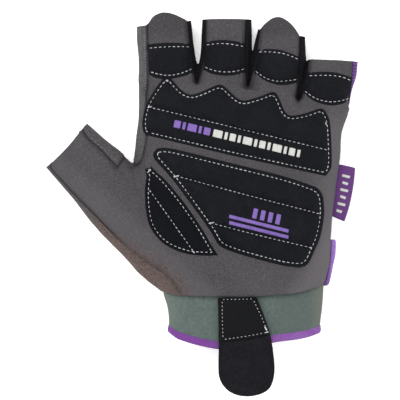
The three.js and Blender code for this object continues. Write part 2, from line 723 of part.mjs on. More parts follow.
addPart("palm_panel", shellWithTabs.intersect(frontCutter), SUEDE);
addPart("back_panel", shell.subtract(backRoom), KNIT);
addPart("thumb_back", sidePiece(thumbRegion), FOLD_CLOTH);
addPart("fourchette_index_middle", sidePiece(fourchetteRegions[0], BACK_SEAM_HEIGHT), STRETCH);
addPart("fourchette_middle_ring", sidePiece(fourchetteRegions[1], BACK_SEAM_HEIGHT), STRETCH);
addPart("fourchette_ring_little", sidePiece(fourchetteRegions[2], BACK_SEAM_HEIGHT), STRETCH);
addPart("little_side_strip", sidePiece(stripRegion, BACK_SEAM_HEIGHT), PURPLE);
addPart("cuff", cuffTube, CUFF_CLOTH);
addPart("cuff_binding", bindingRing(), PURPLE);
addPart("wrist_strap", strap, TAPE);
addPart("strap_patch", patch, LEATHER);
addPart("knuckle_pad", pad(knuckleEdge, PAD_THICKNESS, KNUCKLE_GROOVES), PAD_CLOTH);
addPart("palm_pad", pad(palmEdge, PAD_THICKNESS, PALM_GROOVES), PAD_CLOTH);
addPart("thumb_pad", pad(thumbPadEdge, PAD_THICKNESS, THUMB_GROOVES), PAD_CLOTH);
const knuckleRoom = prism(grown(knuckleEdge, 2 * SEAM_GAP));
for (const row of FINGER_PADS) {
  const solid = pad(fingerPadEdge(row), FINGER_PAD_THICKNESS, [], knuckleRoom);
  addPart(`finger_pad_${fingers[row.finger].name}`, solid, PAD_CLOTH);
}
addPart("side_label", label, LABEL_PURPLE);
addPart("side_tab", sideTab, PURPLE);

export default group;
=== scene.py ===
# A half-finger weightlifting glove for the left hand, lying palm up.
# Lengths in the notes are millimetres; Blender's own unit is the metre.
import math

import bpy
import numpy as np
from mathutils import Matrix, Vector, noise
from mathutils.bvhtree import BVHTree
from mathutils.geometry import delaunay_2d_cdt


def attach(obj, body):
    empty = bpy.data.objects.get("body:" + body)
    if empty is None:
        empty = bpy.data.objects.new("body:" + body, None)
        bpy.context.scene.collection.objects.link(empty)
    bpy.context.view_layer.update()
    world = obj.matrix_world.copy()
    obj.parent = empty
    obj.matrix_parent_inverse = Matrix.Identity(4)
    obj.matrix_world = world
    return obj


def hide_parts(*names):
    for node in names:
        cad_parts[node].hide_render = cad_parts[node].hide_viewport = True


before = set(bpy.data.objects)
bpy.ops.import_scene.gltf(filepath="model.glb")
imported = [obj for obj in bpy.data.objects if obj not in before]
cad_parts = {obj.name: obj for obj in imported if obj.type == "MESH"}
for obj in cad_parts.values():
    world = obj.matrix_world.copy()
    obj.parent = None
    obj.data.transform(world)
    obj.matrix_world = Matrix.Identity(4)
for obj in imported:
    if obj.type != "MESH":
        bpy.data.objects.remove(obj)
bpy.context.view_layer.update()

# Camera
# It hangs straight above the palm, far off, so that the glove is seen almost without perspective, as
# in the photograph. The view is 188 mm wide.
SENSOR_WIDTH = 36
VIEW_WIDTH = 0.188
CAMERA_DISTANCE = 1.5
PALM_HEIGHT = 0.015

camera_data = bpy.data.cameras.new("camera")
camera_data.sensor_width = SENSOR_WIDTH
camera_data.lens = SENSOR_WIDTH * CAMERA_DISTANCE / VIEW_WIDTH
camera_data.clip_end = 20
camera = bpy.data.objects.new("camera", camera_data)
camera.location = (-0.01692, 0.00705, PALM_HEIGHT + CAMERA_DISTANCE)
bpy.context.scene.collection.objects.link(camera)
bpy.context.scene.camera = camera

# The glove's form
# The cloth tubes of the palm, the thumb and the four fingers, before they are cut into panels.
# Each row is a section: its left and right end seen from above in steps of 0.47 mm, counted right and
# down from the corner of the view, then its height and how far its middle runs ahead, both in mm.
STEP = 0.47
MIDDLE_OF_PALM = (236, 215)


def on_view(points):
    """Places in mm in the frame, from steps counted right and down on the view."""
    across, down = MIDDLE_OF_PALM
    return np.array([((x - across) * STEP, (down - y) * STEP) for x, y in points])


def spline(points, steps):
    """A smooth curve through rows of numbers, with the given steps from each row to the next."""
    p = np.asarray(points, float)
    p = np.vstack([2 * p[0] - p[1], p, 2 * p[-1] - p[-2]])
    t = np.linspace(0, 1, steps, endpoint=False)[:, None]
    parts = []
    for a, b, c, d in zip(p[:-3], p[1:-2], p[2:-1], p[3:]):
        square = (2 * a - 5 * b + 4 * c - d) * t**2
        cube = (3 * b - 3 * c + d - a) * t**3
        parts.append(0.5 * (2 * b + (c - a) * t + square + cube))
    parts.append(p[-2:-1])
    return np.vstack(parts)


def drawn(points, steps=6):
    """A smooth line through places on the view."""
    return spline(on_view(points), steps)


TUBES = {
    "palm": [
        (165, 304, 322, 298, 23.0, -3.5),
        (163.4, 292.4, 323, 286, 23.6, -3.5),
        (147, 264, 328.5, 268, 25.2, -1.5),
        (139, 224, 331.5, 224, 26.0, 0),
        (136, 190, 335.5, 190, 26.0, 0),
        (134.8, 160, 339.8, 157, 25.4, 1),
        (138.2, 130, 342.8, 131, 22.6, 3),
        (138.8, 85.2, 346.4, 115, 17.4, 6.5),
    ],
    "index": [
        (144, 112, 194, 112, 10.5, 0),
        (139, 84, 196.5, 84, 17.0, 0),
        (139.3, 68, 196.2, 66, 17.2, 0),
        (138.3, 45, 192.8, 44, 17.0, 0),
        (137.2, 26, 190.2, 20.5, 16.6, 0),
        (136.2, 8, 188, 2, 16.4, 0),
    ],
    "middle": [
        (200, 108, 247, 112, 10.5, 0),
        (197, 84, 250, 86, 17.0, 0),
        (199.6, 66, 250.8, 64, 17.2, 0),
        (202, 45, 251.3, 44, 17.0, 0),
        (203.2, 20, 250.8, 20, 16.6, 0),
        (204.6, 4, 250, 4, 16.4, 0),
    ],
    "ring": [
        (250, 112, 292, 120, 10.5, 0),
        (249.6, 88, 298.2, 99, 17.0, 0),
        (252.4, 68, 303, 76, 17.2, 0),
        (254.5, 50, 305.3, 58, 17.0, 0),
        (259.2, 29, 304.5, 36.6, 16.6, 0),
        (264.5, 8, 303.5, 16, 16.4, 0),
    ],
    "little": [
        (298, 122, 340, 132, 10.5, 0),
        (298.8, 99, 347.4, 114.5, 17.0, 0),
        (303.8, 82, 351.5, 92, 17.2, 0),
        (306.8, 68, 355.8, 74, 17.0, 0),
        (309, 60, 357.6, 62.3, 16.6, 0),
        (314, 42, 361.5, 44, 16.4, 0),
    ],
    "thumb": [
        (163.4, 292.4, 236, 293, 19.0, 0),
        (147.3, 280, 215, 263, 20.0, 0),
        (128, 261, 193, 224, 20.6, 0),
        (107.5, 239.5, 163, 195, 20.5, 0),
        (87.6, 216, 128.5, 159.5, 19.6, 0),
        (67, 191, 107, 142, 18.6, 0),
        (47.5, 166.9, 86.4, 123.9, 18.0, 0),
        (33, 151, 72, 108, 17.8, 0),
    ],
}


def section_ring(row, sides=56, roundness=2.5, mid_share=0.42, sag=1.25):
    """One closed section of a tube, as points in mm, flattened where it would go below the floor."""
    (lx, ly), (rx, ry) = on_view([row[0:2], row[2:4]])
    left, right = np.array([lx, ly]), np.array([rx, ry])
    half = (right - left) / 2
    ahead = np.array([-half[1], half[0]]) / np.linalg.norm(half)
    angle = np.arange(sides) * 2 * np.pi / sides
    across = np.sign(np.cos(angle)) * np.abs(np.cos(angle)) ** (2 / roundness)
    rise = np.abs(np.sin(angle)) ** (2 / roundness)
    top, mid = row[4], row[4] * mid_share
    plan = (left + right) / 2 + across[:, None] * half + (row[5] * (1 - across**2))[:, None] * ahead
    z = np.where(np.sin(angle) >= 0, mid + (top - mid) * rise, np.maximum(0, mid - mid * sag * rise))
    return np.column_stack([plan, z])


def mesh_object(name, verts, faces, scale=0.001):
    mesh = bpy.data.meshes.new(name)
    mesh.from_pydata((np.asarray(verts) * scale).tolist(), [], [list(map(int, f)) for f in faces])
    mesh.update()
    mesh.polygons.foreach_set("use_smooth", [True] * len(mesh.polygons))
    obj = bpy.data.objects.new(name, mesh)
    bpy.context.scene.collection.objects.link(obj)
    return obj


def read_mesh(obj):
    """The object's mesh with its modifiers, as points and triangles."""
    evaluated = obj.evaluated_get(bpy.context.evaluated_depsgraph_get())
    mesh = evaluated.to_mesh()
    mesh.calc_loop_triangles()
    verts = np.empty(len(mesh.vertices) * 3)
    mesh.vertices.foreach_get("co", verts)
    tris = np.empty(len(mesh.loop_triangles) * 3, int)
    mesh.loop_triangles.foreach_get("vertices", tris)
    evaluated.to_mesh_clear()
    return verts.reshape(-1, 3), tris.reshape(-1, 3)


def tube_faces(count, sides, start=0, ends=True):
    """The faces of a tube made of rings of points, with or without its two end faces."""
    faces = []
    for ring in range(start, start + (count - 1) * sides, sides):
        for i in range(sides):
            after = (i + 1) % sides
            faces.append((ring + i, ring + after, ring + sides + after, ring + sides + i))
    if ends:
        faces.append(tuple(start + i for i in reversed(range(sides))))
        faces.append(tuple(start + (count - 1) * sides + i for i in range(sides)))
    return faces


raw_verts, raw_faces = [], []
for rows in TUBES.values():
    rings = [section_ring(row) for row in spline(rows, 6)]
    raw_faces.extend(tube_faces(len(rings), len(rings[0]), start=len(raw_verts)))
    raw_verts.extend(np.vstack(rings).tolist())
raw = mesh_object("raw_form", raw_verts, raw_faces, scale=1)
remesh = raw.modifiers.new("join", "REMESH")
remesh.mode = "VOXEL"
remesh.voxel_size = 0.8
skin, tris = read_mesh(raw)
bpy.data.objects.remove(raw)


def edges_of(faces):
    pairs = np.vstack([faces[:, [0, 1]], faces[:, [1, 2]], faces[:, [2, 0]]])
    return np.unique(np.sort(pairs, axis=1), axis=0)


def relax(verts, faces, rounds, share=0.5):
    """Moves each point towards the middle of its neighbours."""
    edges = edges_of(faces)
    count = np.bincount(edges.ravel(), minlength=len(verts))[:, None]
    for _ in range(rounds):
        total = np.zeros_like(verts)
        np.add.at(total, edges[:, 0], verts[edges[:, 1]])
        np.add.at(total, edges[:, 1], verts[edges[:, 0]])
        verts = verts + share * (total / count - verts)
    return verts


def normals_of(verts, faces):
    face_normals = np.cross(verts[faces[:, 1]] - verts[faces[:, 0]], verts[faces[:, 2]] - verts[faces[:, 0]])
    total = np.zeros_like(verts)
    for corner in range(3):
        np.add.at(total, faces[:, corner], face_normals)
    return total / np.maximum(np.linalg.norm(total, axis=1), 1e-9)[:, None]


def line_distance(points, line):
    """How far points seen from above are from a line of straight stretches."""
    points, line = np.asarray(points)[:, :2], np.asarray(line)
    best = np.full(len(points), 1e9)
    for a, b in zip(line[:-1], line[1:]):
        ab = b - a
        t = np.clip(((points - a) @ ab) / max(ab @ ab, 1e-9), 0, 1)
        best = np.minimum(best, np.hypot(*(points - a - t[:, None] * ab).T))
    return best


def inside(points, outline):
    x, y = np.asarray(points)[:, 0], np.asarray(points)[:, 1]
    result = np.zeros(len(x), bool)
    for (x0, y0), (x1, y1) in zip(outline, np.roll(outline, -1, axis=0)):
        if y0 != y1:
            crosses = (y0 > y) != (y1 > y)
            result ^= crosses & (x < (x1 - x0) * (y - y0) / (y1 - y0) + x0)
    return result


def edge_field(points, outline):
    """Distance to a closed outline seen from above, positive inside it."""
    distance = line_distance(points, np.vstack([outline, outline[:1]]))
    return np.where(inside(points, outline), distance, -distance)


skin = relax(skin, tris, 8)

# Seam lines
# Where the panels meet, seen from above, and where the cloth ends at the fingers, thumb and wrist.
# The suede front has a rounded pull tab at the index and the ring finger. It ends at the side seam, and
# the walls between the fingers end at the back seam; both heights are in mm above the table.
HEM = [(336, 281), (323, 285), (308, 289.6), (293, 293), (255, 296), (219, 296), (190, 295.6), (172, 294),
       (150, 288)]
SEAMS = {
    "little_right": [(370, 112), (351, 106), (350.4, 98), (352.3, 84), (353, 70), (353.2, 60.5)],
    "little_end": [(353.2, 60.6), (331, 59.6), (309.3, 59.2)],
    "ring_little": [(309.3, 59.2), (307.6, 74), (305, 89), (298.5, 101.5), (297, 97), (298, 81), (299, 58),
                    (299.7, 35.7)],
    "ring_end": [(299.7, 35.7), (294.6, 28), (288.3, 21.7), (280.6, 17.4), (273, 17.9), (265.3, 23.3),
                 (260.2, 29)],
    "middle_ring": [(260.2, 29), (257.4, 51), (254.6, 66), (249.6, 84), (247.8, 86.5), (246.2, 82),
                    (244.8, 66), (244.6, 45), (245.6, 19)],
    "middle_end": [(245.6, 19), (225, 18.8), (206.4, 18.8)],
    "index_middle": [(206.4, 18.8), (205.4, 44), (203, 64), (198.6, 80), (196.8, 83), (195, 78),
                     (191.6, 60), (189.4, 44), (187, 20)],
    "index_end": [(187, 20.2), (183.7, 18.6), (176, 15), (168.4, 12.8), (160.7, 12.9), (153, 16.8),
                  (147, 25.5)],
    "index_left": [(147, 25.5), (147.6, 50), (148, 76), (146.4, 100), (146.6, 132), (144.4, 150),
                   (140.5, 162), (134, 166)],
    "notch": [(134, 164.5), (129.5, 160.5), (125.6, 157)],
    "thumb_fold": [(126, 155.5), (117.4, 167.4)],
    "thumb_upper": [(117.4, 167.4), (101, 149.6), (90, 140.4), (84.6, 133.6), (82, 126.5)],
    "thumb_end": [(86.4, 123.4), (79, 133), (70.4, 144), (60, 155), (47.5, 166.6)],
    "thumb_lower": [(49.6, 164.8), (54, 172), (74, 194), (95, 215), (113.5, 234), (125, 245), (143, 259),
                    (160, 270), (172, 280), (184, 298)],
}
RIGHT_OF_HEM = [(345, 282), (372, 290)]
FINGER_ENDS = [(372, 282), (390, 60), (358.2, 61.6), (331, 60), (308.6, 59), (306, 36.6), (282, 33),
               (258.6, 28.6), (252, 19), (203, 19), (190.8, 20.2), (165, 24), (136.6, 26), (125, 26),
               (118, 100)]
LEFT_OF_THUMB = [(30, 170), (100, 290)]
SIDE_SEAM = 9.6
BACK_SEAM = 3.2
front_seams = [points for name, points in SEAMS.items() if name not in ("thumb_end", "thumb_lower")]
front_curves = [drawn(points)[:-1] for points in front_seams]
front_outline = np.vstack([
    *front_curves, drawn(SEAMS["thumb_end"][1:-1]), drawn(SEAMS["thumb_lower"]),
    drawn(HEM[:-2])[::-1], on_view(RIGHT_OF_HEM),
])
body_outline = np.vstack([
    drawn(HEM)[::-1], on_view(FINGER_ENDS), drawn(SEAMS["thumb_end"]), on_view(LEFT_OF_THUMB),
])
side_regions = {
    "fourchette_index_middle": on_view([(176, 0), (178, 40), (184, 70), (188, 88), (205, 88), (211, 70),
                                        (214, 40), (216, 0)]),
    "fourchette_middle_ring": on_view([(236, 0), (236, 60), (238, 92), (258, 92), (264, 66), (268, 40),
                                       (272, 0)]),
    "fourchette_ring_little": on_view([(289, 0), (289, 60), (288, 107), (308, 107), (315, 85), (320, 40),
                                       (322, 0)]),
    "little_side_strip": on_view([(341, 40), (341, 106), (372, 106), (372, 40)]),
}
THUMB_ROOT = [(136.6, 159), (148, 190), (160, 225), (173, 264), (193, 291), (204, 315)]
AROUND_THUMB = [(60, 320), (0, 200), (40, 90), (115, 90), (127, 150)]
thumb_region = np.vstack([drawn(THUMB_ROOT), on_view(AROUND_THUMB)])
all_seams = [drawn(points) for name, points in SEAMS.items() if not name.endswith("_end")]

# Soft unevenness of worn cloth, a few creases, and a shallow dip where panels are sewn together.
# Each crease: its line, its depth and its width in mm, below or above the cloth.
CREASES = [
    ([(142, 27), (143.2, 60), (144, 88)], 0.7, 0.9),
    ([(144, 88), (143.4, 118), (141, 146)], 0.5, 1.0),
    ([(139.2, 40), (140.6, 70), (141.4, 104)], -0.3, 0.7),
    ([(124, 158), (134, 168), (150, 172)], -0.9, 2.2),
    ([(112, 158), (118.5, 165.5), (125, 171)], -0.8, 1.1),
    ([(96, 150), (108, 163), (116, 176)], 0.35, 1.6),
    ([(117, 168), (128, 176), (141, 190)], -0.7, 3.0),
    ([(104, 152), (112, 170), (118, 196)], -0.35, 4.0),
    ([(137, 120), (150, 124), (172, 150)], -0.3, 3.5),
    ([(148, 262), (180, 276), (230, 284)], -0.5, 3.0),
    ([(240, 286), (280, 282), (322, 270)], -0.5, 3.0),
    ([(330, 150), (322, 190), (324, 240)], -0.35, 3.0),
    ([(196, 84), (196, 100), (188, 118)], -0.5, 3.0),
    ([(247, 88), (246, 104), (240, 120)], -0.5, 3.0),
    ([(298, 103), (294, 118), (288, 128)], -0.5, 3.0),
]
FULLNESS = 0.5
LITTLE_FINGER_SIDE = 38


def uneven(points, size):
    """Slow unevenness from -1 to 1, with lumps about as large as the size in mm."""
    return np.array([noise.noise(Vector(p) / size) for p in points.tolist()])


def hump(distance, width):
    """A smooth hump of height 1 that fades over the width."""
    return np.exp(-((distance / width) ** 2))


skin_normals = normals_of(skin, tris)
skin[:, :2] += skin_normals[:, :2] * FULLNESS
upper = np.clip((skin[:, 2] - 4) / 6, 0, 1)
push = uneven(skin, 17) * 0.9 + uneven(skin, 6) * 0.28
for line, depth, width in CREASES:
    push += depth * hump(line_distance(skin, drawn(line)), width)
seam_distance = np.min([line_distance(skin, seam) for seam in all_seams], axis=0)
push -= 0.85 * hump(seam_distance, 0.75)
push += 0.25 * hump(seam_distance - 1.6, 0.7)
push -= 0.5 * hump(skin[:, 2] - SIDE_SEAM, 0.8) * (skin[:, 0] > LITTLE_FINGER_SIDE)
skin += skin_normals * (push * upper)[:, None]


def cut(verts, faces, values, snap=0.18):
    """Splits the triangles along the line where the values at the points change sign."""
    verts, values = verts.copy(), values.copy()
    edges = edges_of(faces)
    a, b = edges[:, 0], edges[:, 1]
    crossing = values[a] * values[b] < 0
    a, b = a[crossing], b[crossing]
    t = values[a] / (values[a] - values[b])
    old = verts.copy()
    for near, i, j, share in ((t < snap, a, b, t), (t > 1 - snap, b, a, 1 - t)):
        i, j, share = i[near], j[near], share[near]
        verts[i] = old[i] + (old[j] - old[i]) * share[:, None]
        values[i] = 0
    edges = edges_of(faces)
    edges = edges[values[edges[:, 0]] * values[edges[:, 1]] < 0]
    t = values[edges[:, 0]] / (values[edges[:, 0]] - values[edges[:, 1]])
    added = verts[edges[:, 0]] + (verts[edges[:, 1]] - verts[edges[:, 0]]) * t[:, None]
    lookup = {(int(p), int(q)): len(verts) + k for k, (p, q) in enumerate(edges)}
    sign = np.sign(values[faces])
    mixed = (sign.max(axis=1) > 0) & (sign.min(axis=1) < 0)
    pieces = []
    for face in faces[mixed].tolist():
        ring = []
        for p, q in ((face[0], face[1]), (face[1], face[2]), (face[2], face[0])):
            ring.append(p)
            new = lookup.get((min(p, q), max(p, q)))
            if new is not None:
                ring.append(new)
        if len(ring) == 4:
            k = next(k for k in range(4) if ring[k] >= len(verts))
        else:
            k = next(k for k in range(5) if ring[k] >= len(verts) and ring[(k + 2) % 5] >= len(verts))
        ring = ring[k:] + ring[:k]
        pieces += [(ring[0], p, q) for p, q in zip(ring[1:], ring[2:])]
    pieces = np.array(pieces, int).reshape(-1, 3)
    return np.vstack([verts, added]), np.vstack([faces[~mixed], pieces])


whole_skin, whole_tris = skin, tris
for outline in (front_outline, body_outline, thumb_region, *side_regions.values()):
    skin, tris = cut(skin, tris, edge_field(skin, outline))
for height in (SIDE_SEAM, BACK_SEAM):
    skin, tris = cut(skin, tris, skin[:, 2] - height)
ABOVE_ALL = 60


def tree_of(verts, faces):
    return BVHTree.FromPolygons(verts.tolist(), faces.tolist())


def top_of(tree):
    """A function for the height of a form's upper side at a place seen from above, or None beside it."""
    def look(x, y):
        hit = tree.ray_cast(Vector((x, y, ABOVE_ALL)), Vector((0, 0, -1)))
        return hit[0].z if hit[0] else None
    return look


skin_tree = tree_of(whole_skin, whole_tris)
surface = top_of(skin_tree)
centres = skin[tris].mean(axis=1)
in_body = inside(centres, body_outline)
INDEX_TAB = [(147, 30), (147, 5), (187, 5), (187, 30)]
RING_TAB = [(260.2, 40), (260.2, 5), (299.7, 5), (299.7, 40)]
in_tab = inside(centres, on_view(INDEX_TAB)) | inside(centres, on_view(RING_TAB))
in_front = inside(centres, front_outline) & (centres[:, 2] > SIDE_SEAM) & (in_body | in_tab)
owner = np.where(in_front, "palm_panel", np.where(in_body, "back_panel", "none")).astype(object)
rest = owner == "back_panel"
owner[rest & inside(centres, thumb_region)] = "thumb_back"
for name, outline in side_regions.items():
    owner[rest & inside(centres, outline) & (centres[:, 2] > BACK_SEAM)] = name


def shell(outer, inner, faces):
    """The closed form between two sheets of points that share their faces."""
    n = len(outer)
    directed = {(a, b) for face in faces.tolist() for a, b in zip(face, face[1:] + face[:1])}
    walls = []
    for a, b in sorted(directed):
        if (b, a) not in directed:
            walls += [(b, a, a + n), (b, a + n, b + n)]
    return np.vstack([outer, inner]), np.vstack([faces, faces[:, ::-1] + n, np.array(walls, int)])


inwards = -normals_of(skin, tris)


def panel(name, thickness, material):
    """One panel of the form, with the cloth's thickness inwards, standing for its CAD solid."""
    used, flat = np.unique(tris[owner == name], return_inverse=True)
    inner = skin[used] + inwards[used] * thickness
    inner[:, 2] = np.maximum(inner[:, 2], 0.05)
    verts, closed = shell(skin[used], inner, flat.reshape(-1, 3))
    obj = mesh_object(name + "_cloth", verts, closed)
    near = obj.data.attributes.new("to_seam", "FLOAT", "POINT")
    away = np.min([line_distance(verts, seam) for seam in all_seams], axis=0)
    near.data.foreach_set("value", np.where(verts[:, 2] > 5, away, 9).astype(np.float32))
    obj.data.materials.append(material)
    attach(obj, "root")
    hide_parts(name)


# Palm, finger fronts and thumb front
# One layer of grey synthetic suede with a short nap: soft mottling, darker along the seams between the
# pads, which is painted shade in the sewn grooves with some dirt, lighter towards the little finger's side,
# which is painted light, and warmer and browner towards the wrist at the thumb's side.
CLOTH_THICKNESS = 1.2
LIGHT_ON_CLOTH = 1.85


def srgb(r, g, b):
    """A cloth's own colour, from the colour that it has in the picture under the scene's bright light."""
    def linear(v):
        v /= 255
        return (v / 12.92 if v <= 0.04045 else ((v + 0.055) / 1.055) ** 2.4) / LIGHT_ON_CLOTH
    return (linear(r), linear(g), linear(b), 1)


class Cloth:
    """A material made node by node; the places are the object's own, in mm."""

    def __init__(self, name, roughness, sheen=0.0, sheen_tint=(1, 1, 1, 1), gloss=0.08):
        self.material = bpy.data.materials.new(name)
        self.material.use_nodes = True
        self.tree = self.material.node_tree
        self.shader = self.tree.nodes["Principled BSDF"]
        self.shader.inputs["Roughness"].default_value = roughness
        self.shader.inputs["Specular IOR Level"].default_value = gloss
        self.shader.inputs["Sheen Weight"].default_value = sheen
        self.shader.inputs["Sheen Roughness"].default_value = 0.5
        self.shader.inputs["Sheen Tint"].default_value = sheen_tint
        coordinate = self.tree.nodes.new("ShaderNodeTexCoord")
        self.mm = self.vector("MULTIPLY", coordinate.outputs["Object"], (1000, 1000, 1000))

    def vector(self, operation, a, b):
        node = self.tree.nodes.new("ShaderNodeVectorMath")
        node.operation = operation
        for socket, value in zip(node.inputs, (a, b)):
            self.put(socket, value)
        return node.outputs[0]

    def put(self, socket, value):
        if isinstance(value, bpy.types.NodeSocket):
            self.tree.links.new(value, socket)
        else:
            socket.default_value = value

    def maths(self, operation, *values):
        node = self.tree.nodes.new("ShaderNodeMath")
        node.operation = operation
        for socket, value in zip(node.inputs, values):
            self.put(socket, value)
        return node.outputs[0]

    def times(self, a, b):
        return self.maths("MULTIPLY", a, b)

    def noise(self, size, detail=3.0, rough=0.6, stretch=(1, 1, 1)):
        """Noise whose lumps are about as large as the size in mm."""
        node = self.tree.nodes.new("ShaderNodeTexNoise")
        node.inputs["Scale"].default_value = 1.0
        node.inputs["Detail"].default_value = detail
        node.inputs["Roughness"].default_value = rough
        scaled = self.vector("MULTIPLY", self.mm, tuple(s / size for s in stretch))
        self.tree.links.new(scaled, node.inputs["Vector"])
        return node.outputs[0]

    def ramp(self, value, low, high):
        """0 below low and 1 above high."""
        node = self.tree.nodes.new("ShaderNodeMapRange")
        node.interpolation_type = "SMOOTHSTEP"
        self.put(node.inputs["Value"], value)
        node.inputs["From Min"].default_value = low
        node.inputs["From Max"].default_value = high
        return node.outputs[0]

    def mix(self, share, a, b):
        node = self.tree.nodes.new("ShaderNodeMix")
        node.data_type = "RGBA"
        self.put(node.inputs["Factor"], share)
        self.put(node.inputs[6], a)
        self.put(node.inputs[7], b)
        return node.outputs[2]

    def tint(self, tone, where, strength, colour):
        """The tone with some of another colour over it, where the given value is 1."""
        return self.mix(self.times(where, strength), tone, colour)

    def attribute(self, name):
        node = self.tree.nodes.new("ShaderNodeAttribute")
        node.attribute_name = name
        return node.outputs["Fac"]

    def seam(self, width, size=2.0):
        """1 on a seam and 0 beyond a width in mm from it, unevenly."""
        strayed = self.times(self.noise(size), width * 0.8)
        away = self.maths("ADD", self.attribute("to_seam"), strayed)
        return self.maths("SUBTRACT", 1.0, self.ramp(away, width * 0.35, width * 1.5))

    def along(self, x, y, low, high):
        """0 to 1 between two places along a direction seen from above, in mm."""
        place = self.maths("ADD", self.times(self.axis(0), x), self.times(self.axis(1), y))
        return self.ramp(place, low, high)

    def axis(self, which):
        node = self.tree.nodes.new("ShaderNodeSeparateXYZ")
        self.tree.links.new(self.mm, node.inputs[0])
        return node.outputs[which]

    def ridges(self, place, spacing):
        """A wave from 0 to 1 and back over each spacing in mm."""
        turn = self.times(place, 2 * math.pi / spacing)
        return self.maths("MULTIPLY_ADD", self.maths("SINE", turn), 0.5, 0.5)

    def wave(self, spacing, direction):
        """Ridges a given distance apart, across a direction in the frame."""
        node = self.tree.nodes.new("ShaderNodeVectorMath")
        node.operation = "DOT_PRODUCT"
        self.tree.links.new(self.mm, node.inputs[0])
        node.inputs[1].default_value = Vector(direction).normalized()
        return self.ridges(node.outputs["Value"], spacing)

    def finish(self, colour, heights):
        """heights are pairs of a height value from 0 to 1 and its depth in mm."""
        self.put(self.shader.inputs["Base Color"], colour)
        total = None
        for value, depth in heights:
            part = self.times(value, depth)
            total = part if total is None else self.maths("ADD", total, part)
        bump = self.tree.nodes.new("ShaderNodeBump")
        bump.inputs["Strength"].default_value = 1.0
        bump.inputs["Distance"].default_value = 0.001
        self.tree.links.new(total, bump.inputs["Height"])
        self.tree.links.new(bump.outputs[0], self.shader.inputs["Normal"])
        return self.material


suede = Cloth("suede", 0.95, sheen=0.06, sheen_tint=srgb(230, 228, 235))
nap = suede.noise(0.8, 4, 0.7)
mottle = suede.noise(5.5, 4, 0.6)
patches = suede.noise(26, 3, 0.5)
tone = suede.mix(suede.ramp(nap, 0.3, 0.7), srgb(70, 68, 71), srgb(99, 96, 100))
tone = suede.tint(tone, suede.ramp(mottle, 0.35, 0.7), 0.6, srgb(84, 81, 84))
tone = suede.tint(tone, suede.ramp(patches, 0.4, 0.75), 0.3, srgb(102, 99, 101))
# Lighter towards the little finger's side and the lower right of the palm: painted light from the right.
painted_light_right = suede.times(suede.ramp(suede.axis(0), 30, 46), suede.ramp(suede.axis(1), 60, 40))
tone = suede.tint(tone, painted_light_right, 0.6, srgb(114, 110, 114))
tone = suede.tint(tone, suede.along(1, -0.6, 40, 53), 0.45, srgb(124, 119, 122))
tone = suede.tint(tone, suede.along(-0.66, -0.75, 29, 37), 0.3, srgb(114, 111, 114))
for left, right in ((-44, -22), (8, 31)):
    tip = suede.times(suede.along(1, 0, left - 3, left + 3), suede.along(-1, 0, -right - 3, 3 - right))
    tip = suede.times(tip, suede.along(0, 1, 80, 88))
    tone = suede.tint(tone, tip, 0.5, srgb(70, 66, 69))
at_fold = suede.along(-0.66, -0.75, 30, 38)
to_wrist = suede.times(at_fold, suede.along(0.62, -0.78, -34, -14))
tone = suede.tint(tone, suede.along(-0.66, -0.75, 43, 54), 0.4, srgb(106, 92, 87))
grain = suede.noise(1.1, 3, 0.7)
speckled = suede.times(suede.seam(7.0, 1.2), suede.ramp(grain, 0.4, 0.58))
rust = suede.mix(suede.ramp(grain, 0.5, 0.66), srgb(116, 94, 86), srgb(70, 54, 49))
tone = suede.tint(tone, suede.times(speckled, to_wrist), 0.8, rust)
# Darker along the seams, but not at the wrist: painted shade in the sewn grooves, with some dirt.
seam_shade_and_dirt_share = suede.maths("SUBTRACT", 1.0, to_wrist)
tone = suede.mix(suede.times(suede.times(suede.seam(3.2), 0.25), seam_shade_and_dirt_share), tone, srgb(72, 66, 68))
tone = suede.mix(suede.times(suede.times(suede.seam(0.9), 0.75), seam_shade_and_dirt_share), tone, srgb(46, 42, 44))
flecks = suede.noise(0.65, 2, 0.5)
tone = suede.tint(tone, suede.ramp(flecks, 0.6, 0.72), 0.45, srgb(134, 132, 140))
suede_material = suede.finish(tone, [(nap, 0.16), (mottle, 0.25)])
panel("palm_panel", CLOTH_THICKNESS, suede_material)

# Back of the hand
# One piece of grey stretch knit, sewn to the suede all round and wrapped round the side of the index
# finger, where its fine courses show.
knit = Cloth("knit", 0.95, sheen=0.05, sheen_tint=srgb(230, 230, 235))
courses = knit.wave(0.9, (0, 1, 0.25))
wales = knit.wave(0.8, (1, 0, 0.6))
fuzz = knit.noise(0.7, 4, 0.7)
cloudy = knit.noise(9, 3, 0.6)
loops = knit.times(courses, wales)
tone = knit.mix(loops, srgb(74, 73, 75), srgb(104, 102, 104))
tone = knit.tint(tone, knit.ramp(fuzz, 0.35, 0.7), 0.5, srgb(90, 88, 91))
tone = knit.tint(tone, knit.ramp(cloudy, 0.4, 0.7), 0.4, srgb(86, 84, 87))
# Lighter towards the fingers.
lighter_to_fingers = knit.times(knit.along(0, 1, 18, 36), 0.65)
tone = knit.mix(lighter_to_fingers, tone, knit.mix(loops, srgb(104, 102, 104), srgb(146, 143, 145)))
mottle = knit.noise(1.8, 3, 0.7)
tone = knit.tint(tone, knit.ramp(mottle, 0.44, 0.6), 0.5, srgb(80, 78, 80))
# Darker along the seams: painted shade in the sewn grooves, with some dirt.
tone = knit.tint(tone, knit.seam(1.0), 0.7, srgb(48, 46, 48))
knit_material = knit.finish(tone, [(loops, 0.2), (fuzz, 0.15)])
panel("back_panel", CLOTH_THICKNESS, knit_material)

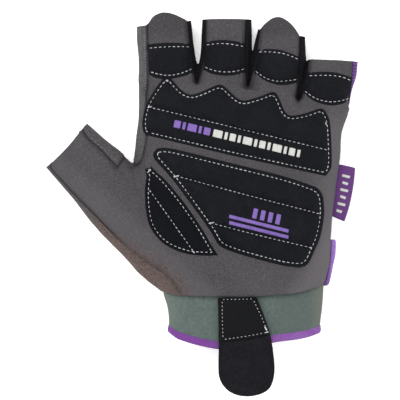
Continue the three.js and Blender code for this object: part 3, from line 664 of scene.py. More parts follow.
# Back of the thumb
# The same weight of stretch cloth, which rolls round both sides of the thumb. It is grey at the thumb
# and turns brownish along the fold towards the wrist.
fold = Cloth("fold_cloth", 0.95, sheen=0.05, sheen_tint=srgb(230, 220, 220))
threads = fold.times(fold.wave(0.8, (0.7, 0.7, 0.3)), fold.wave(0.8, (-0.7, 0.7, 0.3)))
fuzz = fold.noise(0.8, 4, 0.7)
cloudy = fold.noise(7, 3, 0.6)
towards = fold.along(0.62, -0.78, -54, -24)
brown = fold.mix(fold.ramp(fuzz, 0.3, 0.7), srgb(98, 84, 79), srgb(136, 118, 113))
grey = fold.mix(fold.ramp(fuzz, 0.3, 0.7), srgb(80, 78, 81), srgb(110, 107, 111))
tone = fold.mix(towards, grey, brown)
wrist = fold.along(0.62, -0.78, -34, -14)
blended = fold.times(fold.seam(4.5, 1.2), fold.ramp(fold.noise(1.1, 3, 0.7), 0.34, 0.58))
tone = fold.tint(tone, fold.times(blended, wrist), 0.7, srgb(90, 84, 85))
speckled = fold.times(fold.ramp(fold.noise(1.2, 3, 0.7), 0.5, 0.62), 0.55)
tone = fold.mix(speckled, tone, fold.mix(towards, srgb(72, 70, 73), srgb(80, 62, 56)))
# Darker along the seams, but not at the wrist: painted shade in the sewn grooves, with some dirt.
seam_shade_and_dirt_share = fold.times(fold.maths("SUBTRACT", 1.0, wrist), fold.seam(0.8))
tone = fold.tint(tone, seam_shade_and_dirt_share, 0.75, srgb(50, 44, 44))
tone = fold.tint(tone, fold.ramp(cloudy, 0.4, 0.75), 0.2, srgb(88, 80, 78))
fold_material = fold.finish(tone, [(threads, 0.12), (fuzz, 0.18)])
panel("thumb_back", CLOTH_THICKNESS, fold_material)

# Side walls between the fingers
# Black ribbed stretch cloth, a little thinner than the rest. Each wall is one strip, sewn between the
# suede fronts and the knit back of two fingers.
THIN_CLOTH = 0.9
stretch = Cloth("stretch", 0.9, sheen=0.02, sheen_tint=srgb(160, 158, 164), gloss=0.04)
ribs = stretch.wave(1.0, (0.1, 1, 0.1))
fuzz = stretch.noise(0.7, 4, 0.7)
tone = stretch.mix(ribs, srgb(20, 19, 22), srgb(33, 31, 35))
tone = stretch.tint(tone, fuzz, 0.5, srgb(34, 33, 36))
stretch_material = stretch.finish(tone, [(ribs, 0.15), (fuzz, 0.12)])
for name in ("fourchette_index_middle", "fourchette_middle_ring", "fourchette_ring_little"):
    panel(name, THIN_CLOTH, stretch_material)

# Side of the little finger
# A strip of purple cloth, sewn between the front and the back. Its overlocked threads make close
# ridges across it.
overlock = Cloth("overlock", 0.75, sheen=0.08, sheen_tint=srgb(235, 220, 250), gloss=0.12)
ridges = overlock.wave(1.5, (0.1, 1, 0.05))
fuzz = overlock.noise(0.6, 4, 0.7)
tone = overlock.mix(ridges, srgb(96, 50, 130), srgb(142, 96, 180))
tone = overlock.tint(tone, fuzz, 0.4, srgb(118, 72, 152))
overlock_material = overlock.finish(tone, [(ridges, 0.4), (fuzz, 0.12)])
panel("little_side_strip", THIN_CLOTH, overlock_material)

# Padded patches
# Black brushed cloth over foam, sewn flat to the suede along a line just inside each edge and, on the
# large patches, along channels, so that the foam swells between the stitches.
PATCH_RIM = {"knuckle_pad": 1.5, "palm_pad": 1.85, "thumb_pad": 1.6}
EDGE_RADIUS = 0.7
EDGE_HEIGHT = 0.95
SWELLING_REACH = 1.7
STITCH_PITCH = 2.15


def walk(line, spacing, closed=False):
    """Points an even distance apart along a line, and the direction of the line at each."""
    line = np.vstack([line, line[:1]]) if closed else np.asarray(line)
    lengths = np.concatenate([[0], np.cumsum(np.linalg.norm(np.diff(line, axis=0), axis=1))])
    count = max(2, int(round(lengths[-1] / spacing)))
    places = np.linspace(0, lengths[-1], count + 1)[: count if closed else count + 1]
    points = np.column_stack([np.interp(places, lengths, line[:, i]) for i in (0, 1)])
    before, after = [[np.interp(places + d, lengths, line[:, i]) for i in (0, 1)] for d in (-0.2, 0.2)]
    ahead = np.column_stack(after) - np.column_stack(before)
    return points, ahead / np.maximum(np.linalg.norm(ahead, axis=1), 1e-9)[:, None]


def join_curves(curves):
    """A closed outline of smooth curves that meet in corners."""
    return np.vstack([drawn(curve, 8)[:-1] for curve in curves])


def grow(outline, distance):
    """The outline moved outwards by a distance, with round corners."""
    points, ahead = walk(outline, 0.5, closed=True)
    area = np.sum(points[:, 0] * np.roll(points[:, 1], -1) - np.roll(points[:, 0], -1) * points[:, 1])
    out = np.column_stack([ahead[:, 1], -ahead[:, 0]]) * (1 if area > 0 else -1) * distance
    moved = points + out
    keep = line_distance(moved, np.vstack([points, points[:1]])) > distance * 0.93
    return moved[keep]


def plan_mesh(outline, spacing, lines=()):
    """Triangles that fill an outline seen from above, with rows of points along the given lines."""
    border = walk(outline, spacing, closed=True)[0]
    low, high = border.min(axis=0), border.max(axis=0)
    rows = np.arange(low[1], high[1], spacing * 0.87)
    columns = np.arange(low[0], high[0], spacing)
    grid = np.array([(x + (spacing / 2 if r % 2 else 0), y) for r, y in enumerate(rows) for x in columns])
    keep = edge_field(grid, border) > spacing * 0.55
    extra = []
    for line in lines:
        keep &= line_distance(grid, line) > spacing * 0.5
        points = walk(line, spacing)[0]
        extra.append(points[edge_field(points, border) > spacing * 0.4])
    points = np.vstack([border, grid[keep], *extra])
    ring = [(i, (i + 1) % len(border)) for i in range(len(border))]
    found = delaunay_2d_cdt([Vector(p) for p in points.tolist()], ring, [], 1, 1e-4)
    plan, faces = np.array([tuple(v) for v in found[0]]), np.array(found[2], int)
    corner = plan[faces]
    turn = np.cross(corner[:, 1] - corner[:, 0], corner[:, 2] - corner[:, 0])
    faces[turn < 0] = faces[turn < 0][:, ::-1]
    return plan, faces[np.abs(turn) > 1e-6]


def slab(plan, faces, top, bottom):
    """The closed form between two heights over a plan."""
    return shell(np.column_stack([plan, top]), np.column_stack([plan, bottom]), faces)


def round_edge(to_edge, radius):
    """0 at the edge and 1 beyond the radius, as a quarter circle."""
    return np.sqrt(np.maximum(0, 1 - (1 - np.minimum(to_edge / radius, 1)) ** 2))


def heights_under(plan, look, fallback=8.0):
    found = [look(x, y) for x, y in plan.tolist()]
    return np.array([fallback if z is None else z for z in found])


def finish_piece(obj, material):
    obj.data.materials.append(material)
    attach(obj, "root")
    return obj


# Along a dash of thread: a place from -1 to 1 and the share of its full width there.
DASH = [(-1, 0.35), (-0.72, 0.85), (0, 1), (0.72, 0.85), (1, 0.35)]


def thread(name, lines, look, material, length=1.3, width=0.44, lift=0.14, pitch=STITCH_PITCH,
           knots=()):
    """Sewing thread: one short raised dash after another, diving into the cloth at both ends."""
    verts, faces, dashes = [], [], []
    for line in lines:
        points, ahead = walk(line, pitch)
        straight = np.sum(ahead[:-1] * ahead[1:], axis=1) > -0.1
        mids, dirs = ((points[:-1] + points[1:]) / 2)[straight], (ahead[:-1] + ahead[1:])[straight]
        for mid, direction in zip(mids, dirs / np.linalg.norm(dirs, axis=1)[:, None]):
            pull = noise.noise(Vector((mid[0] / 6, mid[1] / 6, 5)))
            dashes.append((mid, direction, length * (1 + 0.25 * pull), width * (1 + 0.4 * pull)))
    for place, angle, long, wide in knots:
        turn = math.radians(angle)
        dashes.append((on_view([place])[0], np.array([math.cos(turn), math.sin(turn)]), long, wide))
    for k, (mid, direction, long, wide) in enumerate(dashes):
        # Each dash is turned a little, as a machine's stitches are.
        wobble = 0.07 * math.sin(k * 12.9898)
        direction = np.array([direction[0] - wobble * direction[1], direction[1] + wobble * direction[0]])
        across = np.array([-direction[1], direction[0]])
        start = len(verts)
        for u, fat in DASH:
            centre = mid + direction * u * long / 2
            z = look(*centre)
            if z is None:
                z = look(*mid) or 0
            for s in range(6):
                turn = s * math.pi / 3
                side = centre + across * math.cos(turn) * wide / 2 * fat
                verts.append((side[0], side[1], z + lift - 0.24 * u**4 + math.sin(turn) * 0.2 * fat))
        faces.extend(tube_faces(len(DASH), 6, start))
    return finish_piece(mesh_object(name, verts, faces), material)


black = Cloth("pad_cloth", 0.85, sheen=0.015, sheen_tint=srgb(160, 162, 175), gloss=0.03)
nap = black.noise(0.55, 4, 0.7)
rubbed = black.noise(8, 4, 0.6)
weave = black.times(black.wave(0.7, (1, 0.24, 0)), black.wave(0.7, (-0.24, 1, 0)))
tone = black.mix(black.ramp(nap, 0.3, 0.75), srgb(25, 26, 30), srgb(37, 38, 43))
tone = black.tint(tone, black.ramp(rubbed, 0.45, 0.75), 0.35, srgb(43, 43, 48))
by_thumb = black.times(black.along(-0.66, -0.75, 7, 14), 0.5)
tone = black.mix(by_thumb, tone, srgb(14, 15, 21))
pad_material = black.finish(tone, [(nap, 0.12), (weave, 0.06), (rubbed, 0.15)])

white = Cloth("white_thread", 0.6)
twist = white.wave(0.35, (1, 1, 0.2))
tone = white.mix(twist, srgb(200, 200, 204), srgb(246, 246, 248))
thread_material = white.finish(tone, [(twist, 0.06)])

KNUCKLE = [
    [(146.2, 130.6), (145.4, 122), (149, 106), (158, 90.6), (164.5, 82)],
    [(164.5, 82), (167.1, 80.2), (170, 82.2)],
    [(170, 82.2), (176, 89.3), (183.7, 95.7), (192.6, 98), (204, 94.4), (215, 89.4), (219.9, 88),
     (223.5, 90)],
    [(223.5, 90), (229.6, 96), (236, 101.5), (243.6, 104.1), (257.7, 100.8), (270, 96.2), (273.5, 95.2),
     (275, 98)],
    [(275, 98), (278.1, 104.6), (281.9, 113.5), (289.5, 118.9), (303.6, 117.2), (318, 112.4),
     (321.4, 111.7), (323.2, 114)],
    [(323.2, 114), (326.5, 122.4), (327.8, 142.9), (328.2, 162), (327, 168.6), (323.4, 171.4)],
    [(323.4, 171.4), (318, 171.2), (229.6, 152), (154, 133.8), (148.4, 132.4), (146.2, 130.6)],
]
PALM = [
    [(158.2, 152.6), (163, 152), (176, 153.8), (229.6, 167.1), (280.6, 179.8), (310, 189.4), (316, 192.6),
     (319, 198)],
    [(319, 198), (319.8, 214.3), (316.3, 234.7), (310.4, 248.7), (306, 258.5), (303, 262), (298.5, 263.3)],
    [(298.5, 263.3), (280.6, 260.7), (244.9, 251.3), (225, 244.2), (220.4, 240.6)],
    [(220.4, 240.6), (211.7, 225.8), (191.3, 197.7), (176, 177.3), (160.7, 160.2), (157.4, 155.6),
     (158.2, 152.6)],
]
THUMB = [
    [(148.6, 168.6), (150, 177), (148.7, 188.8), (149.2, 206.6), (153, 224.5), (163.3, 238.5), (176, 246.2),
     (191.3, 250.8), (212, 252.2)],
    [(212, 252.2), (206.6, 243), (196.4, 226), (178.6, 201), (164, 183.5), (156, 175.6), (148.6, 168.6)],
]
INDEX = [
    [(147.7, 44.3), (168, 43), (190.3, 43.4)],
    [(190.3, 43.4), (192, 60), (194.6, 72)],
    [(194.6, 72), (184, 76.2), (168, 79.2), (157, 78.2), (149.6, 75.4)],
    [(149.6, 75.4), (148.6, 62), (147.7, 44.3)],
]
MIDDLE = [
    [(204.9, 41.6), (224.5, 40.2), (244.7, 43)],
    [(244.7, 43), (244.9, 60), (245.6, 72)],
    [(245.6, 72), (236, 75), (224.5, 75.8), (213, 74.2), (203.2, 70.4)],
    [(203.2, 70.4), (204.2, 56), (204.9, 41.6)],
]
RING = [
    [(257.6, 49.2), (278, 49.8), (299.3, 56.6)],
    [(299.3, 56.6), (298.6, 70), (297.3, 82.6)],
    [(297.3, 82.6), (286, 85), (276, 84.6), (264.5, 80.4), (254, 72)],
    [(254, 72), (256.2, 60), (257.6, 49.2)],
]
LITTLE = [
    [(308, 72.4), (331.6, 72.2), (352, 77.2)],
    [(352, 77.2), (351.4, 90), (349.8, 100.8)],
    [(349.8, 100.8), (340, 104.4), (329, 105.4), (315, 101.6), (303.4, 93.2)],
    [(303.4, 93.2), (306.4, 84), (308, 72.4)],
]
# Each patch: its outline, how far it swells, its stitched lines, and whether its rim is stitched too.
PATCHES = {
    "knuckle_pad": (KNUCKLE, 2.6, [[(147.4, 106.8), (238, 129), (327.4, 150.4)]], True),
    "palm_pad": (PALM, 2.6, [[(175.5, 175.9), (248, 195.5), (319.6, 213.9)],
                             [(209.5, 222.4), (262, 236), (312, 247.8)]], True),
    "thumb_pad": (THUMB, 2.4, [[(149.2, 189.4), (172, 221), (193.6, 251.4)]], True),
    "finger_pad_index": (INDEX, 1.8, [[(148.8, 48.4), (170, 47), (190, 46.8)],
                                      [(150.4, 72), (158, 74.2), (168, 75.6), (181, 73.4),
                                       (192.4, 68.6)]], False),
    "finger_pad_middle": (MIDDLE, 1.8, [[(205.6, 45), (224, 43.8), (244.2, 46.6)],
                                        [(204.4, 66.8), (214, 70.8), (224.4, 72.2), (236, 71.4),
                                         (244.8, 68.6)]], False),
    "finger_pad_ring": (RING, 1.8, [[(258.2, 52), (270.5, 52.2), (284.5, 54.2), (298.6, 59.6)],
                                    [(255.3, 70.8), (266, 78.4), (279, 81.6), (297, 79.6)]], False),
    "finger_pad_little": (LITTLE, 1.8, [[(308.4, 75.8), (329.4, 75.6), (342, 77.2), (351, 80.6)],
                                        [(304.4, 90.8), (315.4, 98.6), (329.4, 102), (342, 100.6),
                                         (349.4, 98)]], False),
}
# The sharp ends, which an outline that is moved outwards would lose.
TIPS = {"thumb_pad": [(146.2, 165.6), (218.2, 255.4)]}
padding = {}
fill_verts, fill_faces, fill_held = [], [], []
for name, (curves, swell, channels, large) in PATCHES.items():
    outline = join_curves(curves)
    sewn = [drawn(line, 8) for line in channels]
    if large:
        sewn.insert(0, np.vstack([outline, outline[:1]]))
        outline = grow(outline, PATCH_RIM[name])
        for tip in on_view(TIPS.get(name, [])):
            away = np.linalg.norm(outline - tip, axis=1)
            gap = away + np.roll(away, -1)
            outline = np.insert(outline, int(np.argmin(gap)) + 1, tip, axis=0)
    plan, faces = plan_mesh(outline, 0.8, sewn)
    to_edge = np.maximum(edge_field(plan, outline), 0)
    to_stitch = np.min([line_distance(plan, line) for line in sewn], axis=0)
    base = np.maximum(heights_under(plan, surface), SIDE_SEAM - 0.4)
    base = relax(np.column_stack([plan, base]), faces, 3 if large else 7)[:, 2]
    rounded = round_edge(to_edge, EDGE_RADIUS)
    between = sewn[0][:-1] if large else np.vstack([sewn[0], sewn[1][::-1]])
    puffed = edge_field(plan, between) > 0
    lift = np.where(puffed, (swell - 0.9) * (1 - np.exp(-((to_stitch / SWELLING_REACH) ** 1.3))), 0)
    if not large:
        lift *= np.clip(to_edge / 2.5, 0, 1) ** 0.5
    verts, closed = slab(plan, faces, base + 0.1 + EDGE_HEIGHT * rounded + lift, base + 0.06)
    held = np.ones(len(verts), bool)
    held[: len(plan)] = ~puffed | (to_stitch < 0.35) | (to_edge < 0.9)
    padding[name] = [verts, closed, faces, to_stitch, sewn, len(fill_verts)]
    fill_faces.extend((closed + len(fill_verts)).tolist())
    fill_verts.extend(verts.tolist())
    fill_held.extend(held.tolist())

# The foam's swelling: the upper cloth, cut a little too large, is blown up between its stitch lines,
# at ten times its size, and moves by 0.6 mm at most.
TIMES_REAL = 10
SWELLING_STEPS = 20
MOST_SWELLING = 0.6
fill_verts = np.array(fill_verts)
filled = fill_verts.copy()
blown = mesh_object("filling", fill_verts, fill_faces, scale=0.001 * TIMES_REAL)
sewn_down = blown.vertex_groups.new(name="sewn")
sewn_down.add([i for i, held in enumerate(fill_held) if held], 1.0, "REPLACE")
cloth = blown.modifiers.new("cloth", "CLOTH")
cloth.settings.quality = 5
cloth.settings.mass = 0.3
cloth.settings.tension_stiffness = 20
cloth.settings.compression_stiffness = 20
cloth.settings.shear_stiffness = 8
cloth.settings.bending_stiffness = 0.4
cloth.settings.use_pressure = True
cloth.settings.uniform_pressure_force = 4
cloth.settings.shrink_min = -0.04
cloth.settings.vertex_group_mass = "sewn"
cloth.settings.effector_weights.gravity = 0
cloth.collision_settings.use_collision = False
cloth.point_cache.frame_start = 1
cloth.point_cache.frame_end = SWELLING_STEPS
for step in range(1, SWELLING_STEPS + 1):
    bpy.context.scene.frame_set(step)
move = read_mesh(blown)[0] * 1000 / TIMES_REAL - fill_verts
reach = np.linalg.norm(move, axis=1)[:, None]
filled = fill_verts + move * np.minimum(1, MOST_SWELLING / np.maximum(reach, 1e-9))
bpy.data.objects.remove(blown)
bpy.context.scene.frame_set(1)

pad_tops = {}
# Where a seam starts or ends the thread lies thicker: place, turn in degrees, length and width.
knots = {
    "knuckle_pad": [((167.2, 80.6), 0, 1.3, 0.6), ((148.6, 106.8), 75, 1.4, 0.6),
                    ((149.8, 107.2), 15, 2.2, 0.6), ((325.6, 124), -60, 1.6, 0.6),
                    ((147.0, 131.4), -45, 1.1, 0.45), ((326.2, 170.4), 45, 1.1, 0.45)],
    "palm_pad": [((176.4, 176.4), 15, 3.0, 0.65), ((211.4, 222.6), 10, 2.8, 0.7),
                 ((158.6, 153.2), 30, 1.3, 0.6)],
    "thumb_pad": [((149.2, 171.2), 50, 2.6, 0.6), ((193.6, 251.6), -45, 1.6, 0.6),
                  ((211.2, 251.8), 30, 1.1, 0.45)],
}
for name, (verts, closed, faces, to_stitch, sewn, start) in padding.items():
    verts = filled[start : start + len(verts)].copy()
    n = len(to_stitch)
    verts[:n, 2] -= 0.42 * hump(to_stitch, 0.55)
    rough = uneven(verts[:n], 5) * 0.16 + uneven(verts[:n], 14) * 0.2
    verts[:n, 2] += rough * np.clip(to_stitch / 2, 0, 1)
    pad = mesh_object(name + "_cloth", verts, closed)
    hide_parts(name)
    finish_piece(pad, pad_material)
    pad_tops[name] = top_of(tree_of(verts[:n], faces))
    thread(name + "_thread", sewn, pad_tops[name], thread_material, knots=knots.get(name, ()))

grey_thread = Cloth("grey_thread", 0.8)
dust = grey_thread.noise(0.5, 3, 0.6)
tone = grey_thread.mix(dust, srgb(110, 110, 116), srgb(165, 165, 172))
grey_thread_material = grey_thread.finish(tone, [(dust, 0.05)])
strip_line = [drawn([(90, 137.4), (97, 143.6), (107, 152), (116.6, 160.4)], 8)]
thread("thumb_strip_thread", strip_line, surface, grey_thread_material, length=0.8, width=0.32,
       lift=0.05, pitch=2.0)
side_line = [drawn([(144.3, 28), (144.8, 50), (145.4, 74), (145, 90)], 8)]
thread("index_side_thread", side_line, surface, grey_thread_material, length=0.9, width=0.42,
       lift=0.03, pitch=1.25)

# Print on the pads
# A plain row of slanted bars, purple and then off-white, and four short purple bars over two long ones.
# They are thin rubbery print that follows the cloth.
PRINT_HEIGHT = 0.2
PRINT_SLOPE = 0.242


def printed(name, shapes, look, material):
    verts, faces = [], []
    for shape in shapes:
        plan, tri = plan_mesh(np.array(shape), 0.55)
        z = heights_under(plan, look, 0)
        form, closed = slab(plan, tri, z + PRINT_HEIGHT, z + 0.02)
        faces.extend((closed + len(verts)).tolist())
        verts.extend(form.tolist())
    return finish_piece(mesh_object(name, verts, faces), material)


def ink(name, low, high):
    print_ink = Cloth(name, 0.55)
    crackle = print_ink.noise(0.5, 4, 0.75)
    worn = print_ink.noise(3.5, 3, 0.6)
    tone = print_ink.mix(print_ink.ramp(crackle, 0.3, 0.7), low, high)
    return print_ink.finish(tone, [(crackle, 0.05), (worn, 0.06)])


purple_ink = ink("purple_print", srgb(128, 100, 182), srgb(156, 126, 206))
white_ink = ink("white_print", srgb(214, 214, 208), srgb(240, 240, 236))


def bar(x, y, width, height, slope=PRINT_SLOPE, lean=0.2):
    """A bar standing on a sloping line; x, y is its lower left corner on the view."""
    fall, side = width * slope, height * lean
    right = x + width
    return on_view([(x, y), (right, y + fall), (right + side, y + fall - height), (x + side, y - height)])


def row_of_bars(x0, y0, widths, gap, height=7.4):
    bars, x = [], x0
    for width in widths:
        bars.append(bar(x, y0 + (x - x0) * PRINT_SLOPE, width, height))
        x += width + gap
    return bars


purple_bars = row_of_bars(173.5, 127.6, (6.5, 3, 9, 3, 6.5), 2.0)
white_bars = row_of_bars(212.5, 137.0, (9, 3, 6, 3, 9, 3, 6, 3, 9, 3, 6, 3), 2.1)
printed("purple_bars", purple_bars, pad_tops["knuckle_pad"], purple_ink)
printed("white_bars", white_bars, pad_tops["knuckle_pad"], white_ink)
bands = [bar(228.6, y, 59, 3.4, slope=0.25, lean=0.15) for y in (217.8, 224.0)]
posts = [bar(251.4 + 7.6 * k, 217.9 + 1.9 * k, 4.4, 10.0, slope=0.25, lean=0.2) for k in range(4)]
printed("purple_bands", bands + posts, pad_tops["palm_pad"], purple_ink)

# Cuff
# A closed band of sage stretch neoprene with a knit face. It starts under the hem of the suede and
# relaxes into soft creases along its length.
CUFF_THICKNESS = 1.8
CUFF = [
    (165, 278, 324.6, 278, 20.4, -4),
    (163.6, 292, 324, 289, 21.2, -4.5),
    (166.8, 305, 323.2, 303, 21.7, -5.2),
    (168.6, 317, 321.6, 318, 21.5, -6),
    (168.8, 331.5, 319.8, 332.5, 21.0, -6.8),
]
cuff_rows = np.array([section_ring(row, sides=128) for row in spline(CUFF, 10)])
# Its edge hangs lower left of the strap and is pushed outwards under it.
from_left = np.clip((cuff_rows[..., 0] + 33) / 6, 0, 1)
from_strap = np.clip((9 - cuff_rows[..., 0]) / 15, 0, 1)
sag = -1.5 * from_left**2 * (3 - 2 * from_left) * from_strap**2 * (3 - 2 * from_strap)
sag += 1.6 * hump(cuff_rows[..., 0] - 19, 11)
cuff_rows[..., 1] += sag * np.linspace(0, 1, len(cuff_rows))[:, None] ** 2


def row_normals(rows):
    round_way = np.roll(rows, -1, axis=1) - np.roll(rows, 1, axis=1)
    along = np.gradient(rows, axis=0)
    normal = np.cross(round_way, along)
    normal /= np.maximum(np.linalg.norm(normal, axis=2), 1e-9)[..., None]
    centre = rows.mean(axis=1, keepdims=True)
    return normal * np.sign(np.sum(normal * (rows - centre)))


def tube(name, rows, ends=False):
    count, sides = rows.shape[:2]
    return mesh_object(name, rows.reshape(-1, 3), tube_faces(count, sides, ends=ends))


cuff_normals = row_normals(cuff_rows)
creased = cuff_rows.copy()
for i, ring in enumerate(cuff_rows):
    along = i / (len(cuff_rows) - 1)
    soft = uneven(ring / (5.5, 22, 9), 1) * 0.5
    tuck = uneven(ring / (2.6, 14, 4) + (40, 0, 0), 1) * 0.22
    lift = np.clip(ring[:, 2] / 3, 0, 1) * (1 - 0.6 * along)
    creased[i] += cuff_normals[i] * ((soft + tuck) * lift)[:, None]
creased[..., 2] = np.maximum(creased[..., 2], 0.55)
cuff = tube("cuff_cloth_band", creased)
stretches = np.linalg.norm(np.diff(creased, axis=1), axis=2)
round_way = np.column_stack([np.zeros(len(creased)), np.cumsum(stretches, axis=1)])
whole_way = round_way[:, -1:] + np.linalg.norm(creased[:, -1] - creased[:, 0], axis=1)[:, None]
way = cuff.data.attributes.new("round_the_band", "FLOAT", "POINT")
way.data.foreach_set("value", np.minimum(round_way, whole_way - round_way).ravel().astype(np.float32))
wall = cuff.modifiers.new("thickness", "SOLIDIFY")
wall.thickness = CUFF_THICKNESS / 1000
wall.offset = -1
sage = Cloth("sage_neoprene", 0.92, sheen=0.04, sheen_tint=srgb(220, 235, 230))
ribs = sage.ridges(sage.attribute("round_the_band"), 0.8)
fuzz = sage.noise(0.6, 4, 0.7)
cloudy = sage.noise(11, 4, 0.6, stretch=(1, 0.4, 1))
tone = sage.mix(ribs, srgb(98, 112, 108), srgb(110, 124, 120))
tone = sage.tint(tone, sage.ramp(fuzz, 0.3, 0.7), 0.5, srgb(112, 128, 123))
tone = sage.tint(tone, sage.ramp(cloudy, 0.42, 0.7), 0.4, srgb(98, 109, 105))
heather = sage.noise(1.5, 3, 0.7)
tone = sage.tint(tone, sage.ramp(heather, 0.5, 0.66), 0.4, srgb(126, 140, 132))
tone = sage.tint(tone, sage.ramp(heather, 0.48, 0.34), 0.4, srgb(86, 99, 96))
tone = sage.tint(tone, sage.along(1, 0, 14, 26), 0.45, srgb(94, 100, 96))
tone = sage.tint(tone, sage.along(-1, 0, 25, 34), 0.5, srgb(134, 142, 130))
tone = sage.tint(tone, sage.along(1, 0, 33, 41), 0.55, srgb(132, 138, 124))
cuff_material = sage.finish(tone, [(ribs, 0.05), (fuzz, 0.14)])
finish_piece(cuff, cuff_material)
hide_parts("cuff")

# Cuff binding
# A purple tape with an overlocked face, folded round the cuff's edge and sewn through, so that its
# upper side steps down to the cuff. Its profile is counted in mm past the edge and out from the cuff.
edge_along = cuff_rows[-1] - cuff_rows[-2]
edge_along /= np.linalg.norm(edge_along, axis=1)[:, None]
PROFILE = [(-3.2, 0.1), (-3.05, 0.3), (-2.4, 0.34), (-2.15, 0.34), (-2.0, 0.58), (-1.4, 0.66), (-0.4, 0.6),
           (0.25, 0.35), (0.5, -0.1), (0.55, -1.0), (0.3, -1.9), (-0.4, -2.35), (-1.6, -2.45), (-3.0, -2.4),
           (-3.2, -2.0)]
binding_rows = np.array([cuff_rows[-1] + edge_along * past + cuff_normals[-1] * out for past, out in PROFILE])
binding_rows[..., 2] = np.maximum(binding_rows[..., 2], 0.02)
binding = tube("binding_tape", binding_rows)
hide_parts("cuff_binding")
tape = Cloth("purple_tape", 0.7, sheen=0.06, sheen_tint=srgb(235, 220, 250), gloss=0.15)
fuzz = tape.noise(0.6, 4, 0.7)
streaks = tape.noise(3, 4, 0.6, stretch=(0.4, 1, 1))
tone = tape.mix(tape.ramp(fuzz, 0.3, 0.7), srgb(128, 74, 158), srgb(160, 104, 188))
tone = tape.tint(tone, tape.ramp(streaks, 0.4, 0.7), 0.45, srgb(168, 120, 198))
tone = tape.tint(tone, tape.along(-1, 0, -4, 16), 0.75, srgb(124, 62, 154))
tape_material = tape.finish(tone, [(fuzz, 0.12), (streaks, 0.15)])
finish_piece(binding, tape_material)

# Closing strap
# Black brushed loop tape, sewn into the hem at its upper end. It lies over the cuff and its round free
# end hangs past the edge. A smooth leather patch is stitched over its root.
STRAP = [
    [(217.6, 297.4), (236, 297.6), (256.4, 296.6)],
    [(256.4, 296.6), (264.2, 316.5), (269.4, 331.8), (272.4, 348), (274.2, 364), (273.9, 375),
     (271.9, 383.4), (269, 388.8), (263.8, 392.8), (255.8, 395.7), (246.4, 396.7), (237, 395.3),
     (229, 391.4), (223.7, 386.1), (220.6, 381), (218.6, 374), (218.2, 362), (218.5, 348.4),
     (218.2, 321.6), (217.6, 297.4)],
]
strap_outline = join_curves(STRAP)
STRAP_FREE = -63.7
FREE_LENGTH = 21.8
LYING_HEIGHT = 23.35
FREE_DROP = 10.8


def strap_height(y, thickness):
    """The strap lies level on the cuff and sinks towards its free end."""
    past = np.clip((STRAP_FREE - y) / FREE_LENGTH, 0, 1)
    return LYING_HEIGHT + thickness - FREE_DROP * past**1.5


def ripple(plan, lengths, layer):
    """Slow unevenness over a plan, from -1 to 1, with lumps about as long and wide as the lengths."""
    return uneven(np.column_stack([plan / lengths, np.full(len(plan), layer)]), 1)


plan, faces = plan_mesh(strap_outline, 0.8)
to_edge = np.maximum(edge_field(plan, strap_outline), 0)
rounded = round_edge(to_edge, 0.8)
wave = ripple(plan, (16, 11), 3) * 0.35 * np.clip(to_edge / 3, 0, 1)
lower = strap_height(plan[:, 1], 0) + 0.6 * (1 - rounded)
upper = strap_height(plan[:, 1], 0.75 + 1.25 * rounded) + wave * (plan[:, 1] < -58)
verts, closed = slab(plan, faces, upper, lower)
strap = mesh_object("strap_tape_band", verts, closed)
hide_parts("wrist_strap")
loop = Cloth("loop_tape", 0.95, sheen=0.02, sheen_tint=srgb(170, 170, 178), gloss=0.03)
curls = loop.noise(0.75, 5, 0.8)
worn = loop.noise(6, 4, 0.65)
tone = loop.mix(loop.ramp(curls, 0.32, 0.72), srgb(25, 25, 29), srgb(45, 44, 49))
tone = loop.tint(tone, loop.ramp(worn, 0.42, 0.72), 0.4, srgb(47, 46, 50))
loop_material = loop.finish(tone, [(curls, 0.45), (worn, 0.2)])
finish_piece(strap, loop_material)
strap_look = top_of(tree_of(verts[: len(plan)], faces))

patch_outline = join_curves([
    [(218.4, 297.8), (236, 298), (255.9, 297)],
    [(255.9, 297), (263.4, 316.5), (269.2, 333.6)],
    [(269.2, 333.6), (247, 338.4), (219.2, 341.4)],
    [(219.2, 341.4), (219.2, 321.6), (218.4, 297.8)],
])
patch_sewn = [
    drawn([(221.6, 298.8), (236, 298.7), (252.6, 298.2)], 8),
    drawn([(222, 300), (222.2, 318), (222.8, 337)], 8),
    drawn([(253, 299.4), (259.7, 313.3), (267, 329.6)], 8),
    drawn([(223.6, 338.4), (247, 335), (266.6, 331.4)], 8),
]
plan, faces = plan_mesh(patch_outline, 0.7, patch_sewn)
to_edge = np.maximum(edge_field(plan, patch_outline), 0)
to_stitch = np.min([line_distance(plan, line) for line in patch_sewn], axis=0)
rounded = round_edge(to_edge, 0.6)
base = heights_under(plan, strap_look, 25.2)
swell = 0.25 * np.clip(to_stitch / 3, 0, 1) - 0.3 * hump(to_stitch, 0.5)
crease = ripple(plan, (6, 9), 8) * 0.18
verts, closed = slab(plan, faces, base + 0.25 + 0.6 * rounded + swell + crease, base + 0.05)
patch = mesh_object("strap_leather_patch", verts, closed)
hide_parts("strap_patch")
hide = Cloth("smooth_leather", 0.6, gloss=0.08)
grain = hide.noise(0.9, 5, 0.7)
broad = hide.noise(7, 3, 0.5)
tone = hide.mix(hide.ramp(grain, 0.35, 0.7), srgb(9, 10, 13), srgb(18, 19, 23))
tone = hide.tint(tone, broad, 0.3, srgb(19, 20, 24))
hide_material = hide.finish(tone, [(grain, 0.12), (broad, 0.1)])
finish_piece(patch, hide_material)
patch_look = top_of(tree_of(verts[: len(plan)], faces))
thread("strap_thread", patch_sewn, patch_look, thread_material, length=0.8, width=0.3,
       pitch=1.8, knots=[((265.2, 327.6), -62, 2.4, 0.75), ((266.4, 331.2), 15, 1.7, 0.6)])

